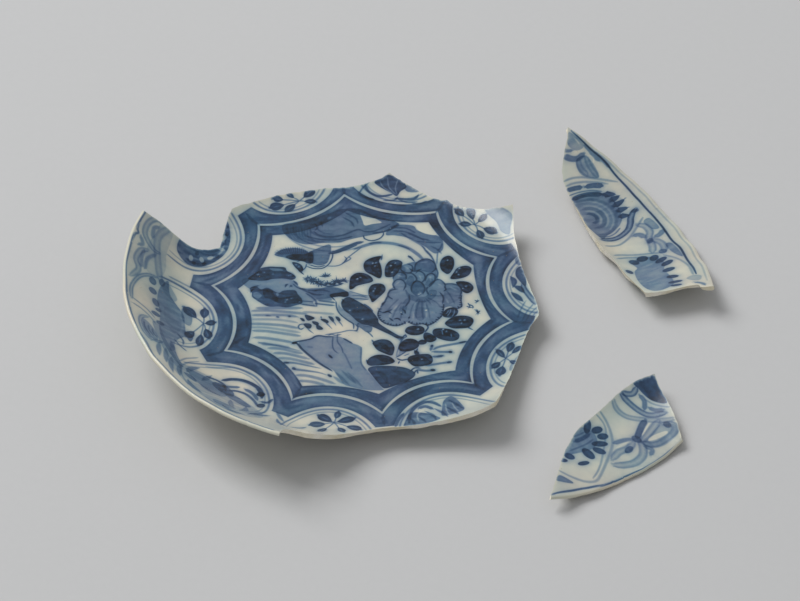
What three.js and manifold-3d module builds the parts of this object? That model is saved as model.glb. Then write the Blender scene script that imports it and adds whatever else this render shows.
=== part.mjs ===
// A broken porcelain dish: three sherds of one shallow dish on a foot ring, as they lie on a table.
// The whole dish is turned as one solid of revolution. Each sherd is what its break lines cut out of it.
import * as THREE from 'three';
import { mergeVertices } from 'three/addons/utils/BufferGeometryUtils.js';
import Module from 'manifold-3d';

const wasm = await Module();
wasm.setup();

// The dish, in millimetres. Its axis is Z and its foot stands on z = 0.
const RIM_RADIUS = 105;
const FLOOR_HEIGHT = 8.8;
const WELL_RADIUS = 66;
const STEEPEST_RADIUS = 92;
const WALL_SLOPE = 0.9;
const LIP_SLOPE = 0.74;
const WELL_THICKNESS = 3.2;
const LIP_THICKNESS = 2;
const FOOT_RADIUS = 56.4;
const FOOT_FLAT = 3.2;
const FOOT_FLARE = 1.2;
const FOOT_EDGE = 0.5;

// How finely the turned solid is faceted.
const TURN_STEPS = 96;
const WALL_STEPS = 12;
const LIP_STEPS = 4;

// The cutters reach below the foot, above the lip and past the rim.
const CUT_BELOW = 5;
const CUT_DEPTH = 50;
const CUT_PAST_RIM = 10;

const { degToRad, lerp, smoothstep } = THREE.MathUtils;

// Slope of the upper surface: flat in the well, easing into the wall, a little flatter at the lip.
function upperSlope(radius) {
  const rise = WALL_SLOPE * smoothstep(radius, WELL_RADIUS, STEEPEST_RADIUS);
  const past = Math.max(0, radius - STEEPEST_RADIUS) / (RIM_RADIUS - STEEPEST_RADIUS);
  return rise - (WALL_SLOPE - LIP_SLOPE) * past;
}

// Height of the upper surface, the sum of its slope from the well outwards.
function upperHeight(radius) {
  const span = STEEPEST_RADIUS - WELL_RADIUS;
  const t = Math.min(Math.max((radius - WELL_RADIUS) / span, 0), 1);
  const past = Math.max(0, radius - STEEPEST_RADIUS);
  const easing = (WALL_SLOPE - LIP_SLOPE) / (2 * (RIM_RADIUS - STEEPEST_RADIUS));
  return FLOOR_HEIGHT + WALL_SLOPE * (span * (t ** 3 - t ** 4 / 2) + past) - easing * past ** 2;
}

function wallThickness(radius) {
  return lerp(WELL_THICKNESS, LIP_THICKNESS, smoothstep(radius, FOOT_RADIUS, RIM_RADIUS));
}

// The point on the underside that faces the upper surface at this radius, straight through the wall.
function undersidePoint(radius) {
  const lean = Math.atan(upperSlope(radius));
  const depth = wallThickness(radius);
  return new THREE.Vector2(radius + depth * Math.sin(lean), upperHeight(radius) - depth * Math.cos(lean));
}

// Half section of the dish: up the inside, round the lip, down the outside and in over the foot ring.
function dishSection() {
  const lipLean = Math.atan(LIP_SLOPE);
  const lipRadius = LIP_THICKNESS / 2;
  const innerEnd = RIM_RADIUS - lipRadius * (1 + Math.sin(lipLean));
  const lipCentre = new THREE.Vector2(
    RIM_RADIUS - lipRadius,
    upperHeight(innerEnd) - lipRadius * Math.cos(lipLean),
  );
  const wallRadii = [];
  for (let i = 0; i <= WALL_STEPS; i += 1) {
    wallRadii.push(lerp(WELL_RADIUS, innerEnd, i / WALL_STEPS));
  }

  const section = [new THREE.Vector2(0, FLOOR_HEIGHT), new THREE.Vector2(WELL_RADIUS / 2, FLOOR_HEIGHT)];
  for (const radius of wallRadii) {
    section.push(new THREE.Vector2(radius, upperHeight(radius)));
  }
  for (let i = 1; i < LIP_STEPS; i += 1) {
    const angle = Math.PI / 2 + lipLean - (Math.PI * i) / LIP_STEPS;
    section.push(
      new THREE.Vector2(
        lipCentre.x + lipRadius * Math.cos(angle),
        lipCentre.y + lipRadius * Math.sin(angle),
      ),
    );
  }
  for (const radius of wallRadii.reverse()) {
    section.push(undersidePoint(radius));
  }

  const underside = FLOOR_HEIGHT - WELL_THICKNESS;
  const footOuter = FOOT_RADIUS + FOOT_FLAT / 2;
  const footInner = FOOT_RADIUS - FOOT_FLAT / 2;
  section.push(
    new THREE.Vector2(footOuter + FOOT_FLARE + FOOT_EDGE, underside),
    new THREE.Vector2(footOuter + FOOT_EDGE, FOOT_EDGE),
    new THREE.Vector2(footOuter, 0),
    new THREE.Vector2(footInner, 0),
    new THREE.Vector2(footInner - FOOT_EDGE, FOOT_EDGE),
    new THREE.Vector2(footInner - FOOT_FLARE - FOOT_EDGE, underside),
    new THREE.Vector2(WELL_RADIUS / 2, underside),
    new THREE.Vector2(0, underside),
  );
  return section;
}

// A closed solid from a geometry: shared corners are merged, and triangles with no area are dropped.
function toSolid(geometry) {
  const bare = geometry.clone();
  bare.deleteAttribute('normal');
  bare.deleteAttribute('uv');
  const merged = mergeVertices(bare, 1e-4);
  const corners = merged.index.array;
  const kept = [];
  for (let i = 0; i < corners.length; i += 3) {
    const [a, b, c] = corners.slice(i, i + 3);
    if (a !== b && b !== c && c !== a) {
      kept.push(a, b, c);
    }
  }
  return new wasm.Manifold(
    new wasm.Mesh({
      numProp: 3,
      vertProperties: Float32Array.from(merged.attributes.position.array),
      triVerts: Uint32Array.from(kept),
    }),
  );
}

function toGeometry(solid) {
  const { vertProperties, triVerts } = solid.getMesh();
  const geometry = new THREE.BufferGeometry();
  geometry.setAttribute('position', new THREE.BufferAttribute(vertProperties, 3));
  geometry.setIndex(new THREE.BufferAttribute(triVerts, 1));
  return geometry;
}

// One break line: a smooth stretch through its points, from wherever the last one ended.
function breakLine(outline, points) {
  outline.splineThru(points.map(([x, y]) => new THREE.Vector2(x, y)));
}

// A point of a rim sherd's break line, by its radius and its angle from the middle of the sherd's rim.
function polar([radius, degrees]) {
  const angle = degToRad(degrees);
  return [radius * Math.cos(angle), radius * Math.sin(angle)];
}

// The large sherd: most of the well and foot ring, with the rim on the left from the horn to the near side.
function mainOutline() {
  const outline = new THREE.Shape();
  outline.moveTo(-109.5, 41);
  // The bite behind the horn.
  breakLine(outline, [[-97.8, 37.2], [-90, 35.6], [-82.8, 33.1], [-76, 31.6], [-70, 32.5], [-63.9, 35]]);
  breakLine(outline, [[-61.3, 48.6], [-58.7, 56.5], [-52.8, 60.4]]);
  // The far side, up to its peak and down to the far right corner.
  breakLine(outline, [[-40.8, 66.5], [-29.5, 70], [-17.5, 72.6], [-5.6, 73.9], [5.8, 77.4], [11.6, 80.3]]);
  breakLine(outline, [[19.1, 75], [31.6, 66.5], [37.6, 65.2]]);
  breakLine(outline, [[40.8, 62.1], [51.3, 58.4], [66.6, 55.8]]);
  // The right side, bulging to its corner and back to the near right corner.
  breakLine(outline, [[67.5, 39.3], [71, 20.1], [76.4, -0.7], [77.2, -8.4]]);
  breakLine(outline, [[72.3, -17.4], [65.1, -42.3], [60.9, -56.2], [57.3, -68.4]]);
  // The near side, climbing the wall to the rim, with a step where the rim ends.
  breakLine(outline, [[50.7, -72.1], [41.7, -73.7], [20.7, -75.7], [8.6, -76.4]]);
  breakLine(outline, [[-1.4, -80], [-9.6, -84.6], [-17.6, -89.2], [-23, -91.5]]);
  outline.lineTo(-31.5, -89.5);
  const past = RIM_RADIUS + CUT_PAST_RIM;
  const [stepX, stepY] = polar([past, 250.6]);
  outline.lineTo(stepX, stepY);
  outline.absarc(0, 0, past, degToRad(250.6), degToRad(159.5), true);
  return outline;
}

// The long sherd: a strip of wall and rim, with its middle on +X.
function longOutline() {
  const past = RIM_RADIUS + CUT_PAST_RIM;
  const outline = new THREE.Shape();
  outline.absarc(0, 0, past, degToRad(-34.5), degToRad(35.5), false);
  breakLine(outline, [[104.7, 34.4], [99.8, 32.5], [92.6, 29.8], [86, 26], [81.6, 21.1]].map(polar));
  breakLine(outline, [[76.9, 12.7], [71.9, 0], [71.1, -6.1], [72.7, -14], [74.1, -21.8]].map(polar));
  breakLine(outline, [[78.5, -31.9], [80, -35.3]].map(polar));
  breakLine(outline, [[87.1, -34.9], [98, -33.8], [100.7, -35.6], [104.6, -34.6]].map(polar));
  outline.closePath();
  return outline;
}

// The small sherd: a corner of wall and rim, with its middle on +X.
function smallOutline() {
  const past = RIM_RADIUS + CUT_PAST_RIM;
  const outline = new THREE.Shape();
  outline.absarc(0, 0, past, degToRad(-21.5), degToRad(14.5), false);
  breakLine(outline, [[104.8, 18.9], [99.1, 22.2], [93.1, 25.6], [85.4, 29.5], [80.2, 33]].map(polar));
  breakLine(outline, [[76, 27.5], [73.9, 21], [74.1, 14], [74.8, 8.4], [77.1, 0.6], [80.5, -3.9]].map(polar));
  breakLine(outline, [[84.9, -8], [93.9, -13.8], [104.6, -18.9]].map(polar));
  outline.closePath();
  return outline;
}

// The section runs up the inside, so it is reversed to turn the faces outwards.
const dish = toSolid(new THREE.LatheGeometry(dishSection().reverse(), TURN_STEPS).rotateX(Math.PI / 2));

function sherd(name, outline, glaze) {
  const cutter = new THREE.ExtrudeGeometry(outline, { depth: CUT_DEPTH, bevelEnabled: false, curveSegments: 3 });
  cutter.translate(0, 0, -CUT_BELOW);
  const mesh = new THREE.Mesh(toGeometry(dish.intersect(toSolid(cutter))), glaze);
  mesh.name = name;
  return mesh;
}

// A loose sherd lies on the outside of its wall: it rolls and leans that way, is turned about the
// vertical, and goes down until its lowest point is on the table.
function layDown(mesh, { roll, lean, turn, x, y }) {
  mesh.rotation.set(degToRad(roll), degToRad(lean), degToRad(turn), 'ZYX');
  mesh.position.set(x, y, 0);
  mesh.position.z = -new THREE.Box3().setFromObject(mesh, true).min.z;
}

const mainSherd = sherd(
  'main_sherd',
  mainOutline(),
  new THREE.MeshStandardMaterial({ color: 0x9aa6b4, roughness: 0.22, metalness: 0 }),
);
const longSherd = sherd(
  'long_rim_sherd',
  longOutline(),
  new THREE.MeshStandardMaterial({ color: 0xb4bcc2, roughness: 0.22, metalness: 0 }),
);
const smallSherd = sherd(
  'small_rim_sherd',
  smallOutline(),
  new THREE.MeshStandardMaterial({ color: 0xb9bfc4, roughness: 0.22, metalness: 0 }),
);

layDown(longSherd, { roll: 1.6, lean: 39.7, turn: 32.8, x: 51.1, y: 12.6 });
layDown(smallSherd, { roll: -4.9, lean: 40.9, turn: -61.4, x: 60.8, y: -15.3 });

// The group's origin is under the middle of the box round all three sherds.
const group = new THREE.Group();
group.add(mainSherd, longSherd, smallSherd);
const spread = new THREE.Box3().setFromObject(group, true);
group.position.set(-(spread.min.x + spread.max.x) / 2, -(spread.min.y + spread.max.y) / 2, 0);

export default group;
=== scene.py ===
"""A broken blue-and-white porcelain dish: three sherds with their painting, glaze and fresh breaks.

Each sherd is one closed surface. Its painted face is a net of triangles laid along every brush stroke,
so that the cobalt, kept as a number at each corner of the net, has clean edges without any image.
"""

import math

import bpy
import numpy as np
from bpy.props import FloatProperty, FloatVectorProperty, PointerProperty
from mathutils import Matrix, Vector
from mathutils.geometry import delaunay_2d_cdt


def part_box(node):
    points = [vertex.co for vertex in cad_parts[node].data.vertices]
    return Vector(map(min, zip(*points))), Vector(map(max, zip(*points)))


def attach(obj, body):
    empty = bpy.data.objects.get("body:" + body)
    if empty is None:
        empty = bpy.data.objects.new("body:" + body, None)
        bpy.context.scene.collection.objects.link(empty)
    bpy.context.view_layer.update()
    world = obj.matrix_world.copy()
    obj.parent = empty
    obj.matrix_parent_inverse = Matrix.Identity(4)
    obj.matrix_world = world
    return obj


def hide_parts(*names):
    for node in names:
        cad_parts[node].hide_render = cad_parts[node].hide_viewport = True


bl_info = {
    "name": "Broken Dish",
    "version": (1, 0, 0),
    "blender": (4, 5, 0),
    "location": "View3D > Sidebar > Broken Dish",
    "description": "Builds three sherds of a blue-and-white porcelain dish round their packed model",
    "category": "Add Mesh",
}

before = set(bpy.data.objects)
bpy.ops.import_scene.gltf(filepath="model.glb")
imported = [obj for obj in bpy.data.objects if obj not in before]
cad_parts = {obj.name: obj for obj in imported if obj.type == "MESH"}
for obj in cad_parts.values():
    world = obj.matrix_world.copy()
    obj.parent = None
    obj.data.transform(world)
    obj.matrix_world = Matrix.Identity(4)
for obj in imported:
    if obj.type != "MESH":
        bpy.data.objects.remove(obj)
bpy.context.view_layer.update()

MM = 0.001

# The dish, in millimetres about its own axis, with its foot on z = 0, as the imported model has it.
RIM_RADIUS = 105.0
FLOOR_HEIGHT = 8.8
WELL_RADIUS = 66.0
STEEPEST_RADIUS = 92.0
WALL_SLOPE = 0.9
LIP_SLOPE = 0.74
WELL_THICKNESS = 3.2
LIP_THICKNESS = 2.0
FOOT_RADIUS = 56.4
# Radius and height up the foot ring, from its outside to its inside.
FOOT_SECTION = ((59.7, 5.6), (58.5, 0.5), (58.0, 0.0), (54.8, 0.0), (54.3, 0.5), (53.1, 5.6))
LIP_RADIUS = LIP_THICKNESS / 2
INNER_END = RIM_RADIUS - LIP_RADIUS * (1 + math.sin(math.atan(LIP_SLOPE)))

# The large sherd's box ends at the rim on the left and at the peak of its far break, which places the axis.
PEAK_FROM_AXIS = 80.3
MAIN_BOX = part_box("main_sherd")
DISH_AXIS = np.array((MAIN_BOX[0].x / MM + RIM_RADIUS, MAIN_BOX[1].y / MM - PEAK_FROM_AXIS))

# Net sizes: corners along the breaks, along the strokes, and in between.
BREAK_STEP = 0.6
STROKE_STEP = 0.62
FACE_STEP = 1.05
BACK_STEP = 2.6
STRIP_ROWS = 6
# How far past its own width a stroke can colour the glaze, in millimetres.
STROKE_MARGIN = 2.5
# Points measured at one time, to keep the arrays small.
BATCH = 4000
# Values along each side of the lattice that a random tone is eased between.
LATTICE = 128
# How far in the breaks slant by the time they reach the underside, in millimetres.
UNDERCUT = 2.2
# How far the rim wavers, how far in from it that fades out, and how wide the pale band along a break is, in
# millimetres: partly a painted highlight for the lit top of the break, partly glaze splintered off.
RIM_WAVER = 0.22
LOOSE_RIM_WAVER = 0.55
WAVER_FADE = 9
LIT_EDGE_WIDTH = 0.5


def linear(code):
    """An sRGB hex colour as the linear numbers that shaders use."""
    channels = [int(code[i:i + 2], 16) / 255 for i in (1, 3, 5)]
    return tuple(c / 12.92 if c <= 0.04045 else ((c + 0.055) / 1.055) ** 2.4 for c in channels)


# ---------------------------------------------------------------- the dish's form


def smoothstep(x, low, high):
    """0 below low and 1 above high, eased between them by a cubic."""
    t = np.clip((x - low) / (high - low), 0, 1)
    return t * t * (3 - 2 * t)


def upper_slope(r):
    """Rise of the upper face: flat in the well, easing into the wall, a little flatter at the lip."""
    past = np.clip(r - STEEPEST_RADIUS, 0, None) / (RIM_RADIUS - STEEPEST_RADIUS)
    return WALL_SLOPE * smoothstep(r, WELL_RADIUS, STEEPEST_RADIUS) - (WALL_SLOPE - LIP_SLOPE) * past


def upper_height(r):
    """Height of the upper face: its slope summed outwards from the well."""
    span = STEEPEST_RADIUS - WELL_RADIUS
    t = np.clip((r - WELL_RADIUS) / span, 0, 1)
    past = np.clip(r - STEEPEST_RADIUS, 0, None)
    easing = (WALL_SLOPE - LIP_SLOPE) / (2 * (RIM_RADIUS - STEEPEST_RADIUS))
    return FLOOR_HEIGHT + WALL_SLOPE * (span * (t ** 3 - t ** 4 / 2) + past) - easing * past ** 2


def through_wall(xy):
    """The point on the underside that faces each plan point of the upper face, straight through the wall."""
    r = np.maximum(np.hypot(*xy.T), 1e-6)
    lean = np.arctan(upper_slope(r))
    depth = WELL_THICKNESS + (LIP_THICKNESS - WELL_THICKNESS) * smoothstep(r, FOOT_RADIUS, RIM_RADIUS)
    out = 1 + depth * np.sin(lean) / r
    return np.column_stack((xy * out[:, None], upper_height(r) - depth * np.cos(lean)))


def random_tone(xy, size, seed):
    """Soft random tone between -1 and 1 in lumps of about size: a square lattice of random values, eased."""
    lattice = np.random.default_rng(seed).uniform(-1, 1, (LATTICE, LATTICE))
    at = xy / size + (LATTICE + 1) / 2
    cell = np.floor(at).astype(int)
    x, y = (smoothstep(at - cell, 0, 1)).T
    i, j = (cell % (LATTICE - 1)).T
    low = lattice[i, j] * (1 - x) + lattice[i + 1, j] * x
    high = lattice[i, j + 1] * (1 - x) + lattice[i + 1, j + 1] * x
    return low * (1 - y) + high * y


# ---------------------------------------------------------------- lines and strokes


def evenly(line, step):
    """The same line with corners evenly spaced about step apart, its ends kept."""
    run = np.concatenate(((0,), np.cumsum(np.hypot(*np.diff(line, axis=0).T))))
    count = max(2, round(run[-1] / step))
    at = np.linspace(0, run[-1], count + 1)
    return np.column_stack([np.interp(at, run, line[:, k]) for k in range(line.shape[1])])


def smooth_line(points, step=STROKE_STEP, closed=False):
    """A smooth line through the points (a Catmull-Rom spline), with corners about step apart."""
    p = np.asarray(points, float)
    if closed:
        q = np.vstack((p[-1:], p, p[:2]))
    else:
        q = np.vstack((p[:1], p, p[-1:]))
    spans = len(q) - 3
    t = np.linspace(0, spans, 16 * spans + 1)
    i = np.minimum(t.astype(int), spans - 1)
    w = (t - i)[:, None]
    a, b, c, d = q[i], q[i + 1], q[i + 2], q[i + 3]
    line = (2 * b + (c - a) * w + (2 * a - 5 * b + 4 * c - d) * w ** 2 + (3 * b - a - 3 * c + d) * w ** 3) / 2
    return evenly(line, step)


def normals_of(line, closed=False):
    """Unit vectors square to the line, on its right-hand side, at each of its corners."""
    if closed:
        along = np.roll(line, -1, 0) - np.roll(line, 1, 0)
    else:
        along = np.gradient(line, axis=0)
    along /= np.maximum(np.hypot(*along.T), 1e-9)[:, None]
    return np.column_stack((along[:, 1], -along[:, 0]))


def nearest_on(xy, line):
    """For each point: distance to the line, its side (+ on the right), and the place along it from 0 to 1."""
    start, along = line[:-1], np.diff(line, axis=0)
    length = np.maximum((along ** 2).sum(1), 1e-12)
    far, side, place = (np.empty(len(xy)) for _ in range(3))
    for first in range(0, len(xy), BATCH):
        part = slice(first, first + BATCH)
        away = xy[part, None] - start
        t = np.clip((away * along).sum(2) / length, 0, 1)
        gap = away - t[..., None] * along
        square = (gap ** 2).sum(2)
        best = square.argmin(1)
        row = np.arange(len(best))
        far[part] = np.sqrt(square[row, best])
        side[part] = np.sign(along[best, 1] * gap[row, best, 0] - along[best, 0] * gap[row, best, 1])
        place[part] = (best + t[row, best]) / len(along)
    return far, side, place


def in_polygon(xy, loop):
    """Whether each point lies inside a closed loop: a ray from it crosses the loop an odd number of times."""
    x1, y1 = loop.T
    x2, y2 = np.roll(loop, -1, 0).T
    rise = np.where(y2 == y1, 1e-12, y2 - y1)
    inside = np.empty(len(xy), bool)
    for first in range(0, len(xy), BATCH):
        x, y = (xy[first:first + BATCH, None, k] for k in range(2))
        crossed = ((y1 > y) != (y2 > y)) & (x < x1 + (y - y1) / rise * (x2 - x1))
        inside[first:first + BATCH] = crossed.sum(1) % 2 == 1
    return inside


# Cobalt that crept out into the glaze round a stroke: its share of the stroke's tone, and how far it got.
HALO = 0.16
HALO_REACH = 0.9

# How wide a stroke is along its length, from 0 to 1.
SHAPES = {
    "even": lambda t: 0.45 + 0.55 * np.sqrt(np.clip(np.minimum(t, 1 - t) / 0.12, 0, 1)),
    "ribbon": lambda t: 0.5 + 0.5 * np.sqrt(np.clip(np.minimum(t, 1 - t) / 0.15, 0, 1)),
    "tail": lambda t: np.clip(1 - t, 0, 1) ** 0.6 * (0.5 + 0.5 * np.clip(t / 0.1, 0, 1)) + 0.08,
    "leaf": lambda t: np.sin(np.pi * np.clip(t, 0.02, 0.98)) ** 0.7,
    "petal": lambda t: np.where(t < 0.6, 0.1 + 0.9 * np.sin(np.pi / 1.2 * np.clip(t, 0, 0.6)) ** 0.9,
                                np.sqrt(np.clip(1 - ((t - 0.6) / 0.42) ** 2, 0, 1))),
}


class Brush:
    """A brush stroke of cobalt: a smooth centre line and a width that swells along it as its shape says.
    The paler the stroke, the softer its edges. A ribbon is dark along both edges and pale between."""

    def __init__(self, points, width, tone=0.8, shape="even"):
        self.line = smooth_line(points)
        self.half = width / 2 * SHAPES[shape](np.linspace(0, 1, len(self.line)))
        self.tone = tone
        self.reserve = False
        self.hollow = shape == "ribbon"
        self.soft = 1.9 - tone
        self.seed = int(abs(self.line[0].sum() * 97 + self.line[-1, 0] * 31)) % 9973

    def rings(self, bleed):
        """Lines for the net to follow: round the wet edge, round the full tone inside it, and the middle."""
        out = normals_of(self.line)
        found = []
        for grow in (bleed * self.soft / 2, -bleed * self.soft / 2):
            reach = self.half + grow
            if reach.max() < 0.08:
                continue
            reach = np.maximum(reach, 0.03)[:, None]
            found.append((np.vstack((self.line + out * reach, (self.line - out * reach)[::-1])), True))
        found.append((self.line, False))
        return found

    def cover(self, xy, bleed):
        """Share covered and tone at each point: full over the width, fading over the bleed, then the halo."""
        bleed = bleed * self.soft
        far, side, place = nearest_on(xy, self.line)
        half = np.interp(place, np.linspace(0, 1, len(self.half)), self.half)
        full = np.clip(0.5 + (half - far) / bleed, 0, 1) * np.clip(2 * half / bleed + 0.3, 0, 1)
        halo = 0 if self.reserve else HALO
        crept = halo * np.clip(half / 0.6, 0, 1) * np.exp(-np.clip(far - half, 0, None) / HALO_REACH)
        full += (1 - full) * crept
        across = side * far / np.maximum(half, 0.1)
        hairs = random_tone(np.column_stack((place * len(self.half) * 0.135, across * 1.6)), 1, self.seed)
        tone = 1 + 0.12 * hairs + 0.14 * smoothstep(np.abs(across), 0.5, 1)
        if self.hollow:
            tone = tone * (0.5 + 0.6 * smoothstep(np.abs(across), 0.1, 0.75))
        return full, self.tone * tone

    def reach(self):
        """Two corners of a box that holds all that the stroke colours."""
        margin = self.half.max() + STROKE_MARGIN
        return self.line.min(0) - margin, self.line.max(0) + margin


class Wash:
    """A patch of cobalt wash inside a closed smooth line, darker where it pooled along its edge."""

    def __init__(self, points, tone=0.4, pool=0.25, streak=0.1):
        points = np.asarray(points, float)
        self.thin = np.ptp(points, axis=0).min()
        self.line = smooth_line(points, min(STROKE_STEP, 0.3 * self.thin), closed=True)
        self.tone = tone
        self.pool = pool
        self.streak = streak
        self.reserve = False
        self.seed = int(abs(self.line[0].sum() * 89 + self.line[3, 0] * 37)) % 9967

    def rings(self, bleed):
        """Lines for the net to follow: just outside the patch's edge, just inside it, and where it pools."""
        loop = self.line[:-1]
        out = normals_of(loop, closed=True)
        if ((np.roll(loop, -1, 0) - loop)[:, 1] * loop[:, 0]).sum() < 0:
            out = -out
        edge = min(bleed / 2, 0.12 * self.thin)
        grows = [edge, -edge] + ([-0.55] if self.thin > 2 else [])
        return [(loop + out * grow, True) for grow in grows]

    def cover(self, xy, bleed):
        """Share covered and tone at each point: full inside the line, then the halo outside it."""
        far, _, _ = nearest_on(xy, self.line)
        depth = np.where(in_polygon(xy, self.line[:-1]), far, -far)
        brushed = random_tone(xy * (0.25, 0.9), 1, self.seed)
        tone = self.tone * (1 + self.streak * brushed + self.pool * np.exp(-np.clip(depth, 0, None) / 0.6))
        full = np.clip(0.5 + depth / bleed, 0, 1)
        halo = 0 if self.reserve else HALO * np.exp(-np.clip(-depth, 0, None) / HALO_REACH)
        return full + (1 - full) * halo, tone

    def reach(self):
        return self.line.min(0) - STROKE_MARGIN, self.line.max(0) + STROKE_MARGIN


# ---------------------------------------------------------------- the star border

# Each point of the star: its angle, then the radius there of its outer edge, its white line and its inner
# edge.
STAR_POINTS = (
    (26.5, 75.5, 65.9, 54.6),
    (60.7, 75.2, 67.0, 59.4),
    (97.2, 75.0, 69.5, 59.6),
    (133.2, 78.0, 68.6, 59.4),
    (170.3, 77.0, 67.4, 56.0),
    (205.6, 77.0, 66.3, 55.4),
    (242.6, 77.0, 65.7, 56.6),
    (277.4, 76.0, 66.9, 55.4),
    (314.6, 76.5, 68.3, 57.4),
    (350.6, 76.0, 66.3, 56.9),
)
# The middle of each lobe that follows those points, in the same columns.
STAR_LOBES = (
    (44.0, 63.7, 57.4, 52.6),
    (78.5, 64.9, 59.4, 53.7),
    (115.5, 64.9, 60.0, 53.0),
    (151.0, 63.3, 58.0, 51.0),
    (187.0, 64.3, 57.1, 49.7),
    (223.0, 62.6, 55.7, 49.7),
    (259.0, 63.7, 56.7, 51.3),
    (296.0, 62.6, 56.0, 51.1),
    (332.5, 63.4, 57.1, 51.1),
    (368.0, 62.4, 56.0, 51.4),
)


def polar(r, degrees):
    """Plan points at a radius and an angle in degrees, or at many of them."""
    angle = np.radians(degrees)
    return np.column_stack((r * np.cos(angle), r * np.sin(angle)))


def about(*places):
    """Plan points from (angle in degrees, radius) pairs about the dish's middle."""
    return [tuple(polar(r, angle)[0]) for angle, r in places]


def arc_through(a, b, c, count=24):
    """Points on the circle through three points, from the first by way of the second to the third."""
    (ax, ay), (bx, by), (cx, cy) = a, b, c
    twice = 2 * (ax * (by - cy) + bx * (cy - ay) + cx * (ay - by))
    squares = ax * ax + ay * ay, bx * bx + by * by, cx * cx + cy * cy
    ox = (squares[0] * (by - cy) + squares[1] * (cy - ay) + squares[2] * (ay - by)) / twice
    oy = (squares[0] * (cx - bx) + squares[1] * (ax - cx) + squares[2] * (bx - ax)) / twice
    start, middle, end = (math.atan2(y - oy, x - ox) for x, y in (a, b, c))
    first = (middle - start + math.pi) % (2 * math.pi) - math.pi
    second = (end - middle + math.pi) % (2 * math.pi) - math.pi
    angles = np.linspace(start, start + first + second, count)
    radius = math.hypot(ax - ox, ay - oy)
    return np.column_stack((ox + radius * np.cos(angles), oy + radius * np.sin(angles)))


def star_edge(column, grow=0.0):
    """One closed edge of the star: round arcs from point to point that bulge towards the middle.
    On the outer edge the arcs stop short of the points, so the band is broad there."""
    side = 3.0 if column == 1 else 0.0
    arcs = []
    for k, (point, lobe) in enumerate(zip(STAR_POINTS, STAR_LOBES)):
        after = STAR_POINTS[(k + 1) % len(STAR_POINTS)]
        through = ((point, side), (lobe, 0), (after, -side))
        ends = [polar(p[column] + grow, p[0] + turn)[0] for p, turn in through]
        arcs.append(arc_through(*ends)[:-1 if side == 0 else None])
    return np.vstack(arcs)


class StarBand:
    """A broad band of the star between two of its edges, brushed along its length."""

    def __init__(self, inner, outer, tone, seed, trim_inner=0.0, trim_outer=0.0):
        self.edges = (star_edge(inner, trim_inner), star_edge(outer, trim_outer))
        self.tone = tone
        self.seed = seed
        self.reserve = False

    def rings(self, bleed):
        """Lines for the net to follow, on both sides of each edge."""
        found = []
        for edge in self.edges:
            loop = evenly(np.vstack((edge, edge[:1])), STROKE_STEP)[:-1]
            out = normals_of(loop, closed=True)
            found += [(loop + out * bleed / 2, True), (loop - out * bleed / 2, True)]
        return found

    def cover(self, xy, bleed):
        """Share covered and tone at each point: full between the edges, and darker where it pooled."""
        inside_outer = in_polygon(xy, self.edges[1])
        inside_inner = in_polygon(xy, self.edges[0])
        depth = []
        for edge, inside in zip(self.edges, (~inside_inner, inside_outer)):
            far, _, place = nearest_on(xy, np.vstack((edge, edge[:1])))
            depth.append(np.where(inside, far, -far))
        near = np.minimum(*depth)
        share = depth[0] / np.maximum(depth[0] + depth[1], 0.1)
        hairs = random_tone(np.column_stack((place * 90, share * 5)), 1, self.seed)
        slow = random_tone(xy, 9, self.seed + 1)
        tone = self.tone * (1 + 0.24 * hairs + 0.22 * slow + 0.28 * np.exp(-np.clip(near, 0, None) / 0.6))
        full = np.clip(0.5 + near / bleed, 0, 1)
        return full + (1 - full) * HALO * np.exp(-np.clip(-near, 0, None) / HALO_REACH), tone

    def reach(self):
        return self.edges[1].min(0) - STROKE_MARGIN, self.edges[1].max(0) + STROKE_MARGIN


def star_border():
    """The two broad bands of the star, a bare line between them."""
    outer = StarBand(2, 1, 0.6, 11, trim_inner=0.85)
    inner = StarBand(3, 2, 0.66, 12, trim_outer=-0.85)
    return [outer, inner]


# ---------------------------------------------------------------- the net of a sherd


def outline_of(runs):
    """The plan outline of a sherd's upper face: its break lines, smoothed, cut at the rim and closed by it.
    The breaks waver by a tenth of a millimetre or two. It runs anticlockwise."""
    lines, last = [], []
    for run in runs:
        lines.append(smooth_line(last + list(run), BREAK_STEP / 4))
        last = [tuple(run[-1])]
    line = np.vstack([lines[0]] + [more[1:] for more in lines[1:]])
    r = np.hypot(*line.T)
    inside = np.flatnonzero(r < INNER_END)
    first, end = inside[0], inside[-1]
    share = (INNER_END - r[[first - 1, end]]) / (r[[first, end + 1]] - r[[first - 1, end]])
    ends = line[[first - 1, end]] + share[:, None] * (line[[first, end + 1]] - line[[first - 1, end]])
    line = evenly(np.vstack((ends[:1], line[first:end + 1], ends[1:])), BREAK_STEP)
    run = np.arange(len(line)) * BREAK_STEP
    waver = 0.16 * random_tone(np.column_stack((run, line[:, 0])), 2.3, 5)
    waver += 0.1 * random_tone(np.column_stack((run, line[:, 1])), 0.9, 6)
    fade = np.clip(np.minimum(run, run[-1] - run) / 2, 0, 1)
    line += normals_of(line) * (waver * fade)[:, None]
    start, finish = (math.degrees(math.atan2(y, x)) for x, y in (line[-1], line[0]))
    sweep = (finish - start + 180) % 360 - 180
    count = round(abs(math.radians(sweep)) * INNER_END / BREAK_STEP)
    rim = polar(INNER_END, np.linspace(start, start + sweep, count + 1)[1:-1])
    loop = np.vstack((line, rim))
    area = (loop[:, 0] * np.roll(loop[:, 1], -1) - loop[:, 1] * np.roll(loop[:, 0], -1)).sum()
    return loop if area > 0 else loop[::-1]


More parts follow.
